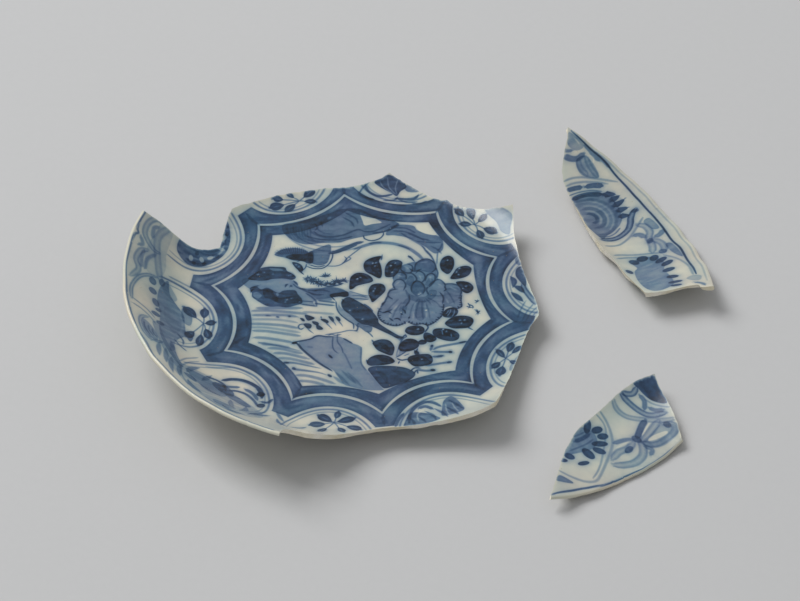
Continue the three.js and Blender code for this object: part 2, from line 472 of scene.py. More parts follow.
def scattered(loop, step, clear):
    """Points on an even triangular grid inside a loop, no nearer than clear to it."""
    low, high = loop.min(0), loop.max(0)
    rows = np.arange(low[1], high[1], step * math.sqrt(3) / 2)
    columns = np.arange(low[0], high[0], step)
    x, y = np.meshgrid(columns, rows)
    x = x + (np.arange(len(rows))[:, None] % 2) * step / 2
    points = np.column_stack((x.ravel(), y.ravel()))
    points = points[in_polygon(points, loop)]
    far, _, _ = nearest_on(points, np.vstack((loop, loop[:1])))
    return points[far > clear]


def net(loop, points, lines):
    """Triangles over a loop's inside, with corners at the points and edges along the lines."""
    corners = [loop, points]
    edges = []
    count = len(loop) + len(points)
    for line, closed in lines:
        number = np.arange(len(line)) + count
        after = np.roll(number, -1)
        pairs = np.column_stack((number, after))
        edges.append(pairs if closed else pairs[:-1])
        corners.append(line)
        count += len(line)
    corners = np.vstack(corners)
    edges = np.vstack(edges).tolist() if edges else []
    verts, _, faces, _, _, kept = delaunay_2d_cdt(
        [Vector(p) for p in corners.tolist()], edges, [list(range(len(loop)))], 1, 1e-4, True)
    verts = np.array([tuple(v) for v in verts])
    faces = np.array([face for face, ids in zip(faces, kept) if ids])
    a, b, c = verts[faces[:, 0]], verts[faces[:, 1]], verts[faces[:, 2]]
    area = (b[:, 0] - a[:, 0]) * (c[:, 1] - a[:, 1]) - (b[:, 1] - a[:, 1]) * (c[:, 0] - a[:, 0])
    faces[area < 0] = faces[area < 0][:, ::-1]
    used, faces = np.unique(faces, return_inverse=True)
    return verts[used], faces.reshape(-1, 3)


def border(faces):
    """The corners round the edge of a net, in order, anticlockwise: edges that only one triangle has."""
    pairs = np.vstack((faces[:, [0, 1]], faces[:, [1, 2]], faces[:, [2, 0]]))
    size = faces.max() + 1
    here, back = pairs[:, 0] * size + pairs[:, 1], pairs[:, 1] * size + pairs[:, 0]
    open_pairs = pairs[~np.isin(here, back)]
    after = dict(open_pairs.tolist())
    if len(after) != len(open_pairs):
        raise RuntimeError("the net's edge touches itself")
    loop = [open_pairs[0, 0]]
    while after[loop[-1]] != loop[0]:
        loop.append(after[loop[-1]])
    if len(loop) != len(after):
        raise RuntimeError("the net has more than one edge")
    return np.array(loop)


# ---------------------------------------------------------------- the sherds' outlines, in plan millimetres


# Each run is smooth, and a corner stands where two runs meet.
MAIN_BREAKS = (
    ((-109.5, 41), (-97.8, 37.2), (-90, 35.6), (-82.8, 33.1), (-76, 31.6), (-70, 32.5), (-63.9, 35)),
    ((-61.3, 48.6), (-58.7, 56.5), (-52.8, 60.4)),
    ((-40.8, 66.5), (-29.5, 70), (-17.5, 72.6), (-5.6, 73.9), (5.8, 77.4), (11.6, 80.3)),
    ((19.1, 75), (31.6, 66.5), (37.6, 65.2)),
    ((40.8, 62.1), (51.3, 58.4), (66.6, 55.8)),
    ((67.5, 39.3), (71, 20.1), (76.4, -0.7), (77.2, -8.4)),
    ((72.3, -17.4), (65.1, -42.3), (60.9, -56.2), (57.3, -68.4)),
    ((50.7, -72.1), (41.7, -73.7), (20.7, -75.7), (8.6, -76.4)),
    ((-1.4, -80), (-9.6, -84.6), (-17.6, -89.2), (-23, -91.5)),
    ((-31.5, -89.5), (-34.4, -97.6)),
)
LONG_BREAKS = (
    about((35.4, 112), (34.4, 104.7), (32.5, 99.8), (29.8, 92.6), (26, 86), (21.1, 81.6)),
    about((12.7, 76.9), (0, 71.9), (-6.1, 71.1), (-14, 72.7), (-21.8, 74.1)),
    about((-31.9, 78.5), (-35.3, 80)),
    about((-34.9, 87.1), (-33.8, 98), (-35.6, 100.7), (-34.5, 112)),
)
SMALL_BREAKS = (
    about((14.5, 112), (18.9, 104.8), (22.2, 99.1), (25.6, 93.1), (29.5, 85.4), (33, 80.2)),
    about((27.5, 76), (21, 73.9), (14, 74.1), (8.4, 74.8), (0.6, 77.1), (-3.9, 80.5)),
    about((-8, 84.9), (-13.8, 93.9), (-18.9, 104.6), (-21.5, 112)),
)
# How each loose sherd lies on the outside of its wall: roll, lean and turn in degrees, then its shift in
# plan.
LONG_POSE = (1.6, 39.7, 32.8, 51.1, 12.6)
SMALL_POSE = (-4.9, 40.9, -61.4, 60.8, -15.3)


# ---------------------------------------------------------------- strokes that repeat


def strokes(width, tone, shape, *lines):
    """Several brush strokes of one width, tone and shape."""
    return [Brush(line, width, tone, shape) for line in lines]


def oval(x, y, long, short, lean, tone, pool=0.2):
    """A small leaf or petal pressed down with one touch: an ellipse with its long side at lean degrees."""
    angle = np.radians(np.arange(0, 360, 45))
    bulge = 1 + 0.07 * np.sin(2 * angle + x + y)
    points = np.column_stack((long / 2 * np.cos(angle), short / 2 * np.sin(angle))) * bulge[:, None]
    c, s = (math.cos(math.radians(lean)), math.sin(math.radians(lean)))
    return Wash(points @ np.array(((c, s), (-s, c))) + (x, y), tone, pool)


def frill(points, tone=0.8, reach=1.1, step=1.4):
    """A frilled petal edge: a dark line with short thick notches that point into the petal on its left."""
    line = smooth_line(points, step)
    out = -normals_of(line)
    deep = reach * (1 + 0.5 * np.sin(np.arange(len(line)) * 2.4))
    tips = line + out * deep[:, None]
    found = [Brush((a, (a + b) / 2 + (0.12, 0), b), 0.9, tone, "tail") for a, b in zip(line, tips)]
    return found + [Brush(points, 0.5, tone)]


def needles(x, y, reach, low, high, count, tone=0.85):
    """A tuft of pine needles: short strokes that spread from one root between two angles."""
    found = []
    for k, angle in enumerate(np.radians(np.linspace(low, high, count))):
        away = np.array((math.cos(angle), math.sin(angle)))
        root = np.array((x, y)) + away * 0.25 * reach
        tip = root + away * reach * (0.75 + 0.25 * math.sin(k * 2.4))
        found.append(Brush((root, (root + tip) / 2, tip), 0.55, tone, "tail"))
    return found


def glints_and_pinholes(tone, *places):
    """Small white spots cleared in the blue, by place and width: painted glints where the glossy glaze
    catches the light, and pinholes where the glaze drew back and the white body shows.
    """
    return [oval(x, y, size, size * 0.7, 40, tone) for x, y, size in places]


def cleared(strokes):
    """The same strokes as reserves, which leave the glaze white."""
    for stroke in strokes:
        stroke.reserve = True
    return strokes


def paled_for_shade_and_glaze(strokes, share=0.8):
    """The same strokes, paler: partly painted shade, the muted blue of a wall turned away from the light, and
    partly the thicker glaze on the wall, which veils the blue.
    """
    for stroke in strokes:
        if not stroke.reserve:
            stroke.tone *= share
    return strokes


# ---------------------------------------------------------------- the scene in the well


def leaves():
    """Dark leaves round the peony, pressed down wet, with paler blue where the brush lifted."""
    dark = [
        ((7.9, 30), (4, 29.2), (1, 27), (0.1, 24), (1, 20.5), (4, 18), (7.3, 16), (8.3, 19), (7.8, 24),
         (7, 27)),
        ((10, 17), (9.5, 20.5), (10, 24), (11.5, 26.7), (14, 27.7), (16.5, 27), (17.3, 25), (15, 19),
         (13, 17)),
        ((-6, 9.2), (-6, 13.5), (-5.4, 17), (-3, 19.3), (0, 19.3), (2.5, 18), (4.2, 15.6), (3.6, 13.6),
         (-2.4, 11.4), (-4.4, 9.4)),
        ((2.4, 6), (2.6, 9.5), (4, 12), (7, 12.8), (9.3, 11.6), (9.7, 8), (6.4, 3.4), (4.2, 1), (3.4, 2.6)),
        ((36.6, 19), (34.5, 21.5), (34, 25.5), (35.5, 29), (38, 30.2), (40, 28.5), (40.3, 24.5), (39.3, 21),
         (38, 19)),
        ((38.5, 16), (40, 19.5), (41.5, 22.3), (44, 23.7), (46.6, 23.7), (48, 22), (47, 18.5), (44.5, 16.5),
         (41, 15.5)),
        ((41, 13.5), (44, 14.2), (47, 13.2), (48.7, 10.6), (48, 8), (46, 6.6), (44, 7.6), (43.2, 9.6)),
        ((35.4, -8), (35.2, -5.6), (37, -3), (40, -2.2), (41.8, -4.2), (41, -7), (38.4, -8.6)),
        ((36, -12.4), (38, -9.4), (41, -7.6), (45, -7.4), (48, -8.8), (48.4, -11.4), (46.5, -14.4),
         (43, -15.2), (39, -15)),
        ((30.5, -17.5), (31.5, -15.5), (35, -15.2), (39, -16), (42, -18.5), (41.8, -21.5), (39, -23),
         (34.5, -22), (31.5, -20)),
        ((18.5, -17), (19.5, -14.5), (22.5, -13.5), (25.5, -13.8), (27, -15.5), (26.5, -18), (24, -19.3),
         (20.5, -19)),
        ((27, -18), (29, -18), (31.5, -20), (32.2, -22), (30, -23.6), (27.5, -23), (26.5, -20.5)),
        ((15.8, -28.4), (16, -25), (18.5, -22), (21.5, -21.5), (24, -23), (24.5, -26), (22, -28.5),
         (18.5, -29.4)),
        ((4.3, -24), (6, -22.5), (9, -21.8), (12, -23), (13.8, -26.5), (13.5, -30), (12.5, -31.8),
         (9.5, -30.5), (6.5, -28.5), (5, -26)),
        ((1.8, -36), (3, -33.3), (6, -31.5), (9.5, -31.5), (12.5, -33), (14, -35.6), (11, -37.2),
         (6, -37.8), (3, -37.8)),
        ((19.5, -34), (21, -32), (25, -31), (29, -31), (30.5, -33.5), (30, -36.5), (27, -38), (23, -38.5),
         (20.5, -36.5))]
    found = [Wash(points, 0.86, 0.25, 0.22) for points in dark]
    # The darkest touches along the middle of the leaves.
    found += strokes(
        2.6, 0.72, "leaf", ((6, 28), (4.4, 24), (6.6, 18)), ((14.6, 26.4), (12.4, 22.6), (11.6, 18.4)),
        ((-4.6, 16.6), (-1.6, 17.2), (2, 15.6)), ((7.8, 11.6), (6.6, 8.6), (5.4, 5.4)),
        ((37.6, 28.6), (37.4, 25), (37.8, 21.6)), ((41, 18.4), (43.8, 20.6), (46.4, 22.6)),
        ((43.6, 12.4), (45.8, 10.8), (46.4, 8.4)), ((39, -11), (42.4, -10.6), (46.6, -11.4)),
        ((33.6, -17), (37, -18.4), (40.6, -20.6)), ((20, -15.6), (23.2, -15.4), (26, -16.8)),
        ((28.2, -19.4), (29.8, -20.8), (30.4, -22.4)), ((7, -24), (9.4, -26), (12.2, -30)),
        ((6.6, -33.6), (9.2, -34.4), (12.6, -35.4)), ((22.6, -33.6), (26, -33.4), (29, -35)))
    found += strokes(
        0.8, 0.7, "tail", ((8, 28), (8.2, 29.6), (8.4, 30.8)), ((46, -14.4), (47.2, -15.4), (48.4, -16.2)),
        ((4.8, -23.4), (4.2, -22.8), (4, -22)), ((2.4, -36), (1.8, -35.2), (1.6, -34.2)))
    found += [Wash(((24, -23.6), (26, -22), (28, -23.4), (27, -24.8), (24.8, -25)), 0.85)]
    # Bare veins, and white spots on the leaves: painted glints of the glaze, and pinholes.
    found += cleared(strokes(
        0.35, 0.6, "even", ((37, -7.6), (38.2, -5.4), (38.6, -3.4)), ((39, -8), (40, -6), (40.2, -3.6)),
        ((36.4, -6.4), (37.2, -5.2), (37.6, -4)), ((34.6, -16.2), (35, -19)),
        ((38.6, -18.4), (38.8, -20.4)), ((16, -28), (15.4, -31))))
    found += cleared(glints_and_pinholes(
        0.7, (4.2, 25.6, 0.9), (5.6, 25.8, 0.7), (5.2, 23.8, 0.6), (12.2, 24, 1), (14.2, 25.6, 0.8),
        (12.8, 19.8, 0.9), (-2.6, 15.6, 1.1), (-1.2, 16.6, 0.6), (4.6, 8, 0.9), (5.2, 9.4, 0.6),
        (37.4, 27.4, 0.8), (42.6, 22.4, 0.9), (41.4, 20, 0.7), (42.2, 18.4, 0.8), (45.4, 11, 0.7),
        (44, 9.6, 0.8), (42.6, -10.2, 0.7), (44.6, -10, 0.8), (43.2, -12, 0.6), (35.2, -15.8, 1),
        (36.6, -17, 0.6), (24.2, -15.6, 0.9), (25.8, -34, 0.7)))
    return found


def peony():
    """The peony: one grey-blue wash for the whole flower, petals outlined over it, and frilled edges."""
    flower = Wash(
        ((11, 7), (10.8, 4.5), (9.6, 1), (7.2, -3.4), (6.6, -7.5), (8.6, -11), (11.4, -12.9), (15, -13.6),
         (18, -12.4), (19.5, -11), (22, -12.9), (25, -12.4), (28, -13.2), (30.5, -12.2), (33, -9.8),
         (35, -6), (35.6, -2.8), (38.5, -1.6), (41.5, -3.2), (43.6, -1.4), (43.4, 3), (43.8, 7), (43, 10.4),
         (40.6, 12.4), (36.5, 12.8), (33.4, 15), (32.6, 18), (31.6, 25.6), (29.4, 27.9), (26.4, 27.8),
         (24.4, 26.4), (22, 26.2), (17, 24), (16.4, 21.6), (14.6, 20), (13.2, 17.4), (13.4, 11), (11.6, 9)),
        0.4, 0.2, 0.2)
    found = [flower]
    # Deeper wash in the folds between petals.
    folds = (
        (0.3, ((22.5, 21), (23.6, 26), (27, 27.6), (30.6, 26), (31.6, 22), (30, 19.6), (26.6, 20.4))),
        (0.32, ((21.4, 7.6), (21.4, 11), (22.6, 13.6), (24.4, 14.2), (26.4, 12.6), (27.2, 9.4), (26, 6),
              (23.6, 4.8))),
        (0.3, ((18.6, 9), (20.4, 3), (26, 1), (31, 3.4), (32.6, 8), (29.4, 8.6), (27.4, 4.6),
              (21.4, 5.6))),
        (0.24, ((17, 0), (20, 4), (19, -4), (16.4, -6), (16, -3))),
        (0.2, ((35.6, 0), (36.4, 9), (42, 10), (42.8, 4), (40, 1))),
        (0.24, ((22, -3), (25.4, 2), (28, -1), (27, -9), (24, -10))),
        (0.26, ((17, 19.4), (18.6, 19.4), (19.4, 16), (18, 14.6), (16, 16))),
        (0.26, ((19, 13), (20.6, 17.6), (22.6, 16), (21.6, 11))),
        (0.26, ((27.4, 12), (29, 16), (31, 15), (30, 11))),
        (0.26, ((16.6, 24), (18.6, 22.4), (18.4, 19.6), (16.6, 20.4))))
    found += [Wash(points, tone, 0.15, 0.3) for tone, points in folds]
    # Petal outlines, wet and thick.
    found += strokes(
        0.7, 0.7, "even",
        ((17, 24), (16.6, 21.6), (18.4, 19.8), (20.6, 19.4), (21.8, 21), (21.6, 23.8), (19.6, 25)),
        ((13.2, 16), (14, 19), (16.5, 19.8), (18.8, 18.3), (19, 15.5)),
        ((19.6, 19.4), (21.6, 19), (23.2, 17), (23.6, 15), (22.2, 13)),
        ((14.2, 9.2), (13.2, 12.4), (15, 15.2), (17.4, 14.8), (18.8, 12), (18, 9)),
        ((14.6, 9.1), (12, 8.2), (10.9, 5.2), (13, 3)),
        ((21.5, 7.5), (21.3, 10.5), (22.5, 13.5), (24.3, 14.3), (26.3, 12.5), (27.3, 9.5), (26.5, 6.5)),
        ((23.5, 19.6), (24.6, 20.6), (26.8, 19), (27.3, 16), (26, 13.4)),
        ((22.8, 21), (23.3, 25), (26, 27.7), (29, 27.9), (31.6, 25.4), (32, 22), (30.4, 19.8)),
        ((27.4, 14.4), (28.4, 18), (30.4, 19), (31.8, 17.5), (31.4, 14), (29, 10.5)),
        ((29, 11.5), (31, 14), (33.5, 15.3), (36, 12.6), (36.2, 10)),
        ((36, 12.4), (39.4, 12.6), (42.4, 11.2), (43.4, 8), (42.8, 5.4)),
        ((20.6, 22), (22.6, 20.4), (25.4, 21.6)), ((12.6, -3.4), (10, -5), (8.2, -5.4)),
        ((10.8, 5), (9.6, 1.6), (7.8, -2)), ((18.6, -1.6), (20.4, 2), (20.2, 5.6)),
        ((35, 0.4), (35.4, 4), (34, 7)), ((32.6, 16.4), (33, 19.4), (32.2, 22.6)),
        ((28.8, 6), (28, 8.6), (28.4, 10.6)), ((35.8, 10.8), (36.6, 9.2), (35.6, 8)))
    # Ribs that spread from the heart over the lower petals.
    found += strokes(
        0.6, 0.34, "even", ((24.6, 3.6), (21.6, -2), (20.6, -8)), ((25.2, 3.4), (23.6, -3), (23.2, -9)),
        ((26, 3.2), (26, -3), (26.4, -9.6)), ((26.8, 3.2), (28.6, -3), (29.4, -9)),
        ((27.6, 3.4), (30.8, -1.4), (32.2, -6)), ((28.4, 4), (32.2, 1), (34, -2)),
        ((15.6, 3), (12.6, -1), (10.6, -4.6)), ((17, 1), (14.4, -4), (13, -8.6)),
        ((18, -1), (17, -6), (16.4, -10)), ((37, 8), (39, 4), (40.4, 0)), ((29.4, 5.6), (33, 5), (36, 5.4)))
    found += cleared(strokes(
        0.8, 0.3, "even", ((23, 1), (22.4, -4), (22, -9)), ((27.4, 1), (27.4, -4), (28, -8.4)),
        ((30, 0.6), (31.4, -3), (32, -5)), ((15, -1), (12.6, -5), (11.6, -8)), ((14.6, 12.4), (16, 13.8)),
        ((18.6, 23.4), (20.2, 21.8)), ((29.6, 17.4), (29.8, 14.4)), ((15.4, 18), (17, 17)),
        ((24.8, 17.8), (25.6, 15.6)), ((33, 12.6), (34.4, 11.6)), ((25.4, 25.8), (28.6, 26.4)),
        ((38.4, 10.6), (41.2, 8.6)), ((36.6, 3), (37.6, 0.4))))
    found += frill(((7.2, -3), (6.6, -7), (8.4, -10.8), (11.6, -12.9), (15, -13.5), (18.6, -12)), 0.78)
    found += frill(((20, -11.4), (23, -12.9), (26, -12.4), (29, -13.2), (32, -11)), 0.8)
    found += frill(((32.6, -10.2), (34.8, -7), (35.6, -0.6)), 0.8)
    found += frill(((41, -3.2), (43.4, -1.6), (43.2, 2), (43.4, 5)), 0.75)
    found += strokes(
        0.9, 0.8, "leaf", ((8.2, -1), (8.8, 0.4), (10, 1.4)), ((17.2, -3), (18.4, -4.6), (18.6, -6.2)),
        ((16.6, -6), (17.6, -6.8)), ((11.6, -8.6), (13.4, -10.6)), ((20.6, -7.8), (20, -9.4)),
        ((9, -5.4), (11, -4.6), (12.6, -6)), ((13.4, -9.4), (15.4, -9), (16.6, -10.4)))
    found += [Brush(((20, 30), (21.4, 28.6), (22.8, 26.4)), 1.1, 0.75, "tail")]
    # White spots on the peony: painted glints of the glaze, and pinholes.
    found += cleared(glints_and_pinholes(0.8, (27.8, -4, 1), (24.6, 6, 0.7), (25.4, 6.6, 0.5), (16.8, -5.2, 0.6)))
    return found


def flying_bird():
    """The bird in flight: a striped dark wing, a blue wing raised behind it, and a long tail."""
    found = [
        Wash(
            ((-39.5, 31.2), (-37, 33.8), (-34, 34.9), (-30, 35.1), (-27, 34.4), (-24.4, 32.4), (-24.6, 29),
             (-26.4, 27.4), (-29.6, 27), (-32, 27.6), (-34.6, 29), (-38, 30)), 0.55, 0.1, 0.2),
        Wash(
            ((-34.6, 29.6), (-31, 31.4), (-26.6, 31.2), (-24.4, 32), (-22.6, 31.4), (-22.4, 26),
             (-24.8, 25.4), (-26.6, 26.6), (-32.4, 28)), 0.8, 0.1, 0.2),
        Wash(
            ((-24.4, 32), (-21, 34.6), (-15.6, 37.4), (-14.4, 35), (-15.4, 27.6), (-17, 25), (-20, 24.2),
             (-23, 25.6), (-24.4, 27.6)), 0.5, 0.15, 0.2),
        Wash(((-24.6, 32), (-22.6, 33), (-22, 29.6), (-22.6, 26), (-24.6, 26)), 0.55, 0.1)]
    # Feathers along the wing, and the barred tip.
    tips = smooth_line(((-38.8, 32.4), (-35, 35), (-30.6, 35.6), (-27, 34.8), (-25, 33)), 1.05)
    roots = smooth_line(((-37, 31), (-30.6, 31.4), (-27, 31.2), (-25.4, 30.6)), 0.9)
    roots = evenly(roots, np.hypot(*np.diff(roots, axis=0).T).sum() / (len(tips) - 1))
    found += [Brush((tip, (tip + root) / 2, root), 0.5, 0.62) for tip, root in zip(tips, roots)]
    found += strokes(
        0.5, 0.8, "even", ((-25, 23.5), (-22, 22.2), (-18, 22.4), (-15.2, 25.2), (-13.8, 29), (-13.6, 32)),
        ((-23.6, 24.4), (-20, 23.2), (-17, 24.2)))
    found += strokes(
        0.45, 0.6, "even", ((-16, 23.8), (-12, 23.8), (-9, 25.5), (-7, 29), (-1, 35.5)),
        ((-9.4, 25.6), (-7.6, 26.6), (-5.6, 28.6), (-6.6, 29.6)), ((-8.2, 29.6), (-7.4, 28), (-8.4, 26.6)),
        ((-29.6, 26.4), (-28, 27.2), (-26.8, 29)))
    # Head and beak.
    found += [
        Wash(((-31.6, 26), (-28.6, 25.4), (-27, 23.4), (-26.6, 21), (-27.8, 20.4), (-29.6, 22)), 0.8),
        Brush(((-28.6, 21.2), (-27.4, 19.6), (-26.2, 18.2)), 0.9, 0.9, "tail"),
        Brush(((-27.4, 24), (-27, 21.6), (-27.2, 20)), 0.6, 0.75),
        Brush(((-25.2, 25), (-25.6, 22.8), (-26.8, 21)), 0.5, 0.7)]
    # White spots on the head: painted glints of the glaze, and pinholes.
    found += cleared(glints_and_pinholes(0.6, (-28.6, 23.2, 0.6), (-29.8, 24.6, 0.5)))
    # Tail.
    found += [
        Brush(((-15, 32), (-12, 33), (-4, 37.8), (-0.4, 39)), 1.7, 0.66),
        Brush(((-15, 31.4), (-11, 32.4), (-3, 37)), 0.5, 0.8)]
    return found


def standing_bird():
    """The bird on the rock: dark back and long tail, a pale breast, and its head turned to the left."""
    found = [
        Wash(
            ((-9.6, 0.4), (-8.8, 2.6), (-6.6, 4.2), (-3.6, 2.6), (2.6, -2.6), (6.4, -8.6), (7, -11.6),
             (9.6, -14.4), (15.6, -19.4), (18, -20.4), (15.4, -21.4), (11.6, -18.8), (4, -13.9),
             (0.4, -12.8), (-2.2, -11), (-5.4, -7), (-8.6, -3.4)), 0.84, 0.1, 0.14),
        Wash(((-3, 0.6), (0.6, -1), (3, -4), (1.4, -6.4), (-2, -5.4), (-4, -2.4)), 0.16, 0),
        Wash(
            ((-10.6, 0), (-9.8, -2), (-4, -8.8), (-1.8, -11.6), (-2.6, -13), (-5, -11.6), (-8.4, -7.6),
             (-10.8, -3.6)), 0.3, 0.1),
        Wash(
            ((-2, -11.6), (1, -13.2), (4, -14), (3.6, -17.2), (1.6, -17.4), (-0.8, -15), (-2.4, -13.6)),
            0.5, 0.1)]
    found += strokes(
        0.6, 0.75, "even",
        ((-11.8, 1.2), (-11.6, -2), (-10.8, -4.8), (-9, -7.6), (-6.4, -10.4), (-4.2, -12.4), (-4, -15)),
        ((0.4, 0), (2.6, -2), (4.4, -4.6)), ((-3.2, -12.8), (-2.2, -14.2), (-2.6, -16.6), (-3.4, -16.4)))
    found += strokes(
        0.5, 0.6, "even", ((2, -17.2), (3.4, -18.8), (4.4, -20.4)), ((-6.6, 4.4), (-5, 3), (-3, 1.8)))
    # Head: the dark cap, the pale cheek under it, and the beak.
    found += [
        Wash(
            ((-14.8, 5.4), (-13, 6.6), (-10.4, 7), (-7, 7.6), (-6.4, 5), (-8, 4.2), (-10.4, 4.6),
             (-13, 4.2)), 0.85),
        Brush(((-14.4, 5), (-13.4, 3.6), (-12.2, 2)), 0.8, 0.8, "tail"),
        Brush(((-9.4, 3), (-8.6, 2), (-9, 0.8)), 0.8, 0.75, "leaf")]
    # White spots on the bird: painted glints of the glaze, and pinholes.
    found += cleared(glints_and_pinholes(0.7, (-5.8, -4, 1), (-0.2, -9.4, 0.8)))
    return found


def rocks_and_bank():
    """The dark bank on the left, the pale ledge under it, the branch, and the tall pale rock in front."""
    found = [
        Wash(
            ((-53.6, 13.4), (-53, 15.4), (-51, 16), (-47, 14.9), (-43, 14.9), (-40, 15.8), (-36, 16),
             (-32, 15), (-30.2, 13.4), (-28.4, 10.8), (-26, 9.6), (-19, 9.8), (-16, 10.4), (-12, 10),
             (-8.6, 8.6), (-6.6, 7), (-7, 4.6), (-11, 4.4), (-14, 4), (-14, 2), (-20, 2.2), (-22, 1),
             (-21, -1.6), (-26, -1), (-30, 1), (-36, 6), (-44, 8), (-50, 9.4)), 0.33, 0.16, 0.12),
        Wash(
            ((-51, 15.8), (-47, 20), (-45.5, 22.3), (-42, 23.3), (-38.5, 23.2), (-34.8, 22.8),
             (-33.7, 20.5), (-31, 18.5), (-29.8, 16.4), (-31.4, 15), (-35, 15.8), (-40, 15.6), (-43, 14.6),
             (-47, 14.6)), 0.84, 0.1, 0.18),
        Wash(
            ((-50, 9.6), (-47, 10.6), (-45, 9), (-42, 10), (-37.6, 6.8), (-35, 8.2), (-30.2, 8.4),
             (-28.8, 6), (-27, 3), (-26.8, 0.4), (-29, -0.8), (-33, -2.2), (-37, -1.8), (-41, -1.8),
             (-44, -0.2), (-48.6, 4), (-49, 6.6)), 0.7, 0.12, 0.2),
        Wash(
            ((-44, 9), (-40.4, 8.6), (-39, 5.6), (-36.6, 3.6), (-30, 4.8), (-27, 3.2), (-28.4, 0.6),
             (-33, 0), (-37.4, 0.6), (-41, 3), (-43.6, 4.4)), 0.62, 0.1, 0.25),
        Wash(((-31, 19.2), (-34, 20.4), (-36.4, 18.4), (-33.6, 16.4), (-30.4, 16.8)), 0.2, 0)]
    found += cleared([
        Wash(((-48.4, 6.6), (-46.6, 7.2), (-44.6, 5.4), (-46, 3.4), (-48, 4.2)), 0.3, 0),
        Wash(((-41.6, 22.4), (-37, 22), (-35.4, 20.8), (-39.6, 20.6)), 0.3, 0),
        Wash(((-38.4, 6.4), (-37.4, 6.6), (-37.2, 5.2), (-37.8, 4.8)), 0.4, 0)])
    # White spots on the bank: painted glints of the glaze, and pinholes.
    found += cleared(glints_and_pinholes(
        0.5, (-33.6, 2.4, 0.9), (-34.2, 1, 0.5), (-46.6, 18.4, 0.8), (-43.8, 19.6, 0.6), (-40, 18.6, 0.5),
        (-33, 17.6, 0.6), (-32, 18, 0.5), (-31.6, 3.2, 0.6), (-28, 1.2, 0.5)))
    found += strokes(
        0.9, 0.7, "leaf", ((-50, 9.6), (-48.6, 10.4), (-46, 11.4)), ((-49.6, 7), (-49, 8.6), (-48, 9.4)),
        ((-34.4, 10.2), (-34, 11.8), (-33, 12.4)), ((-32.4, 10.4), (-31.8, 11.4), (-31.4, 10.4)),
        ((-31, 14.6), (-29.6, 13), (-28.8, 11.4)))
    # The branch that runs from the bank towards the bird.
    found += [Wash(
        ((-24, 9.2), (-19, 9.6), (-15, 10.6), (-11, 10), (-8, 8.4), (-6.8, 6), (-8, 4.6), (-12, 4.8),
         (-15.4, 3.4), (-19.6, 2.6), (-21.4, 4), (-23.6, 6.6)), 0.34, 0.1, 0.2)]
    found += strokes(
        0.9, 0.55, "even", ((-25, 6.4), (-22.4, 4), (-20.8, 1.6), (-20.4, -1.4)),
        ((-28, 9.6), (-22, 6), (-18, 5.6)), ((-22, 8), (-18, 8.6), (-15, 7.6)),
        ((-19.6, 2), (-16, 1.4), (-12.4, 0.8)), ((-21, 0.2), (-17, -0.4), (-12.8, -1)))
    found += strokes(
        0.5, 0.6, "even", ((-28.4, 9.8), (-24, 8.4), (-20, 8.2)), ((-29, 2), (-26, 1.6), (-22, 1.2)),
        ((-27, -0.4), (-24, -0.8), (-20.6, -1.6)), ((-31, 12.4), (-28.6, 9.8), (-25.6, 9.2)))
    found += strokes(
        0.45, 0.55, "even", ((-6, 7.8), (0, 5.4), (2.4, 5)), ((-5, 5), (-1.6, 5), (1.6, 4)),
        ((-6, 3), (-2, 3.2), (2.4, 2.6)))
    found += [Wash(((-6.4, 7.4), (-3, 6), (1.6, 5), (2.6, 3), (-1, 2), (-4.4, 3), (-6.4, 4.6)), 0.22, 0.05)]
    # The tall rock in front.
    found += [Wash(
        ((-27.8, -23.6), (-24, -22), (-20.4, -19.9), (-16, -20.3), (-12, -20), (-9, -20.8), (-5, -24),
         (-2, -25.5), (-0.5, -27), (-0.3, -30.5), (-0.5, -35.5), (1, -39), (8, -50.5), (9, -52.5),
         (2, -52.5), (-5, -50.5), (-8, -49), (-11, -43.5), (-13, -40.5), (-20, -34.5), (-26, -28)), 0.34,
        0.1, 0.1)]
    found += strokes(
        1, 0.78, "even", ((-29.6, -23.6), (-28, -25.2), (-26, -28.4), (-20, -35.2), (-13.4, -41)))
    found += strokes(
        0.75, 0.72, "even",
        ((-30, -23.6), (-23, -21.7), (-21, -20.2), (-19, -19.6), (-16, -20.2), (-13, -20.2)),
        ((-8.3, -21.4), (-6, -23.2), (-4.6, -24.4)))
    found += [
        oval(-29.8, -24, 2.4, 1.5, 20, 0.85), oval(-14, -32.4, 3.2, 1, -50, 0.75),
        oval(-23, -26.6, 2, 0.5, -10, 0.3)]
    found += strokes(
        0.5, 0.55, "even", ((-13, -20.4), (-13.2, -25), (-12.6, -28.2), (-11, -30.2)),
        ((-11, -18.6), (-11, -23.2), (-9.2, -27), (-8.5, -30.4)),
        ((-16.4, -19), (-10, -17.6), (-6, -16.4), (-2.6, -16.8)),
        ((-15, -19.4), (-13.6, -18.8), (-12, -19.4), (-9.6, -18.8)))
    found += strokes(
        1.5, 0.3, "leaf", ((-12, -41.6), (-9, -45.4), (-5.4, -50)), ((-9, -41), (-6, -44.6), (-2.6, -49)),
        ((-12.6, -44.4), (-9.6, -47.4), (-8, -49)), ((-6.4, -42), (-3.6, -46), (0, -50.6)))
    found += strokes(
        0.6, 0.35, "even", ((-0.6, -26.6), (-0.6, -36), (1.4, -40.6)),
        ((-8, -30.4), (-6, -36), (-4.6, -40)))
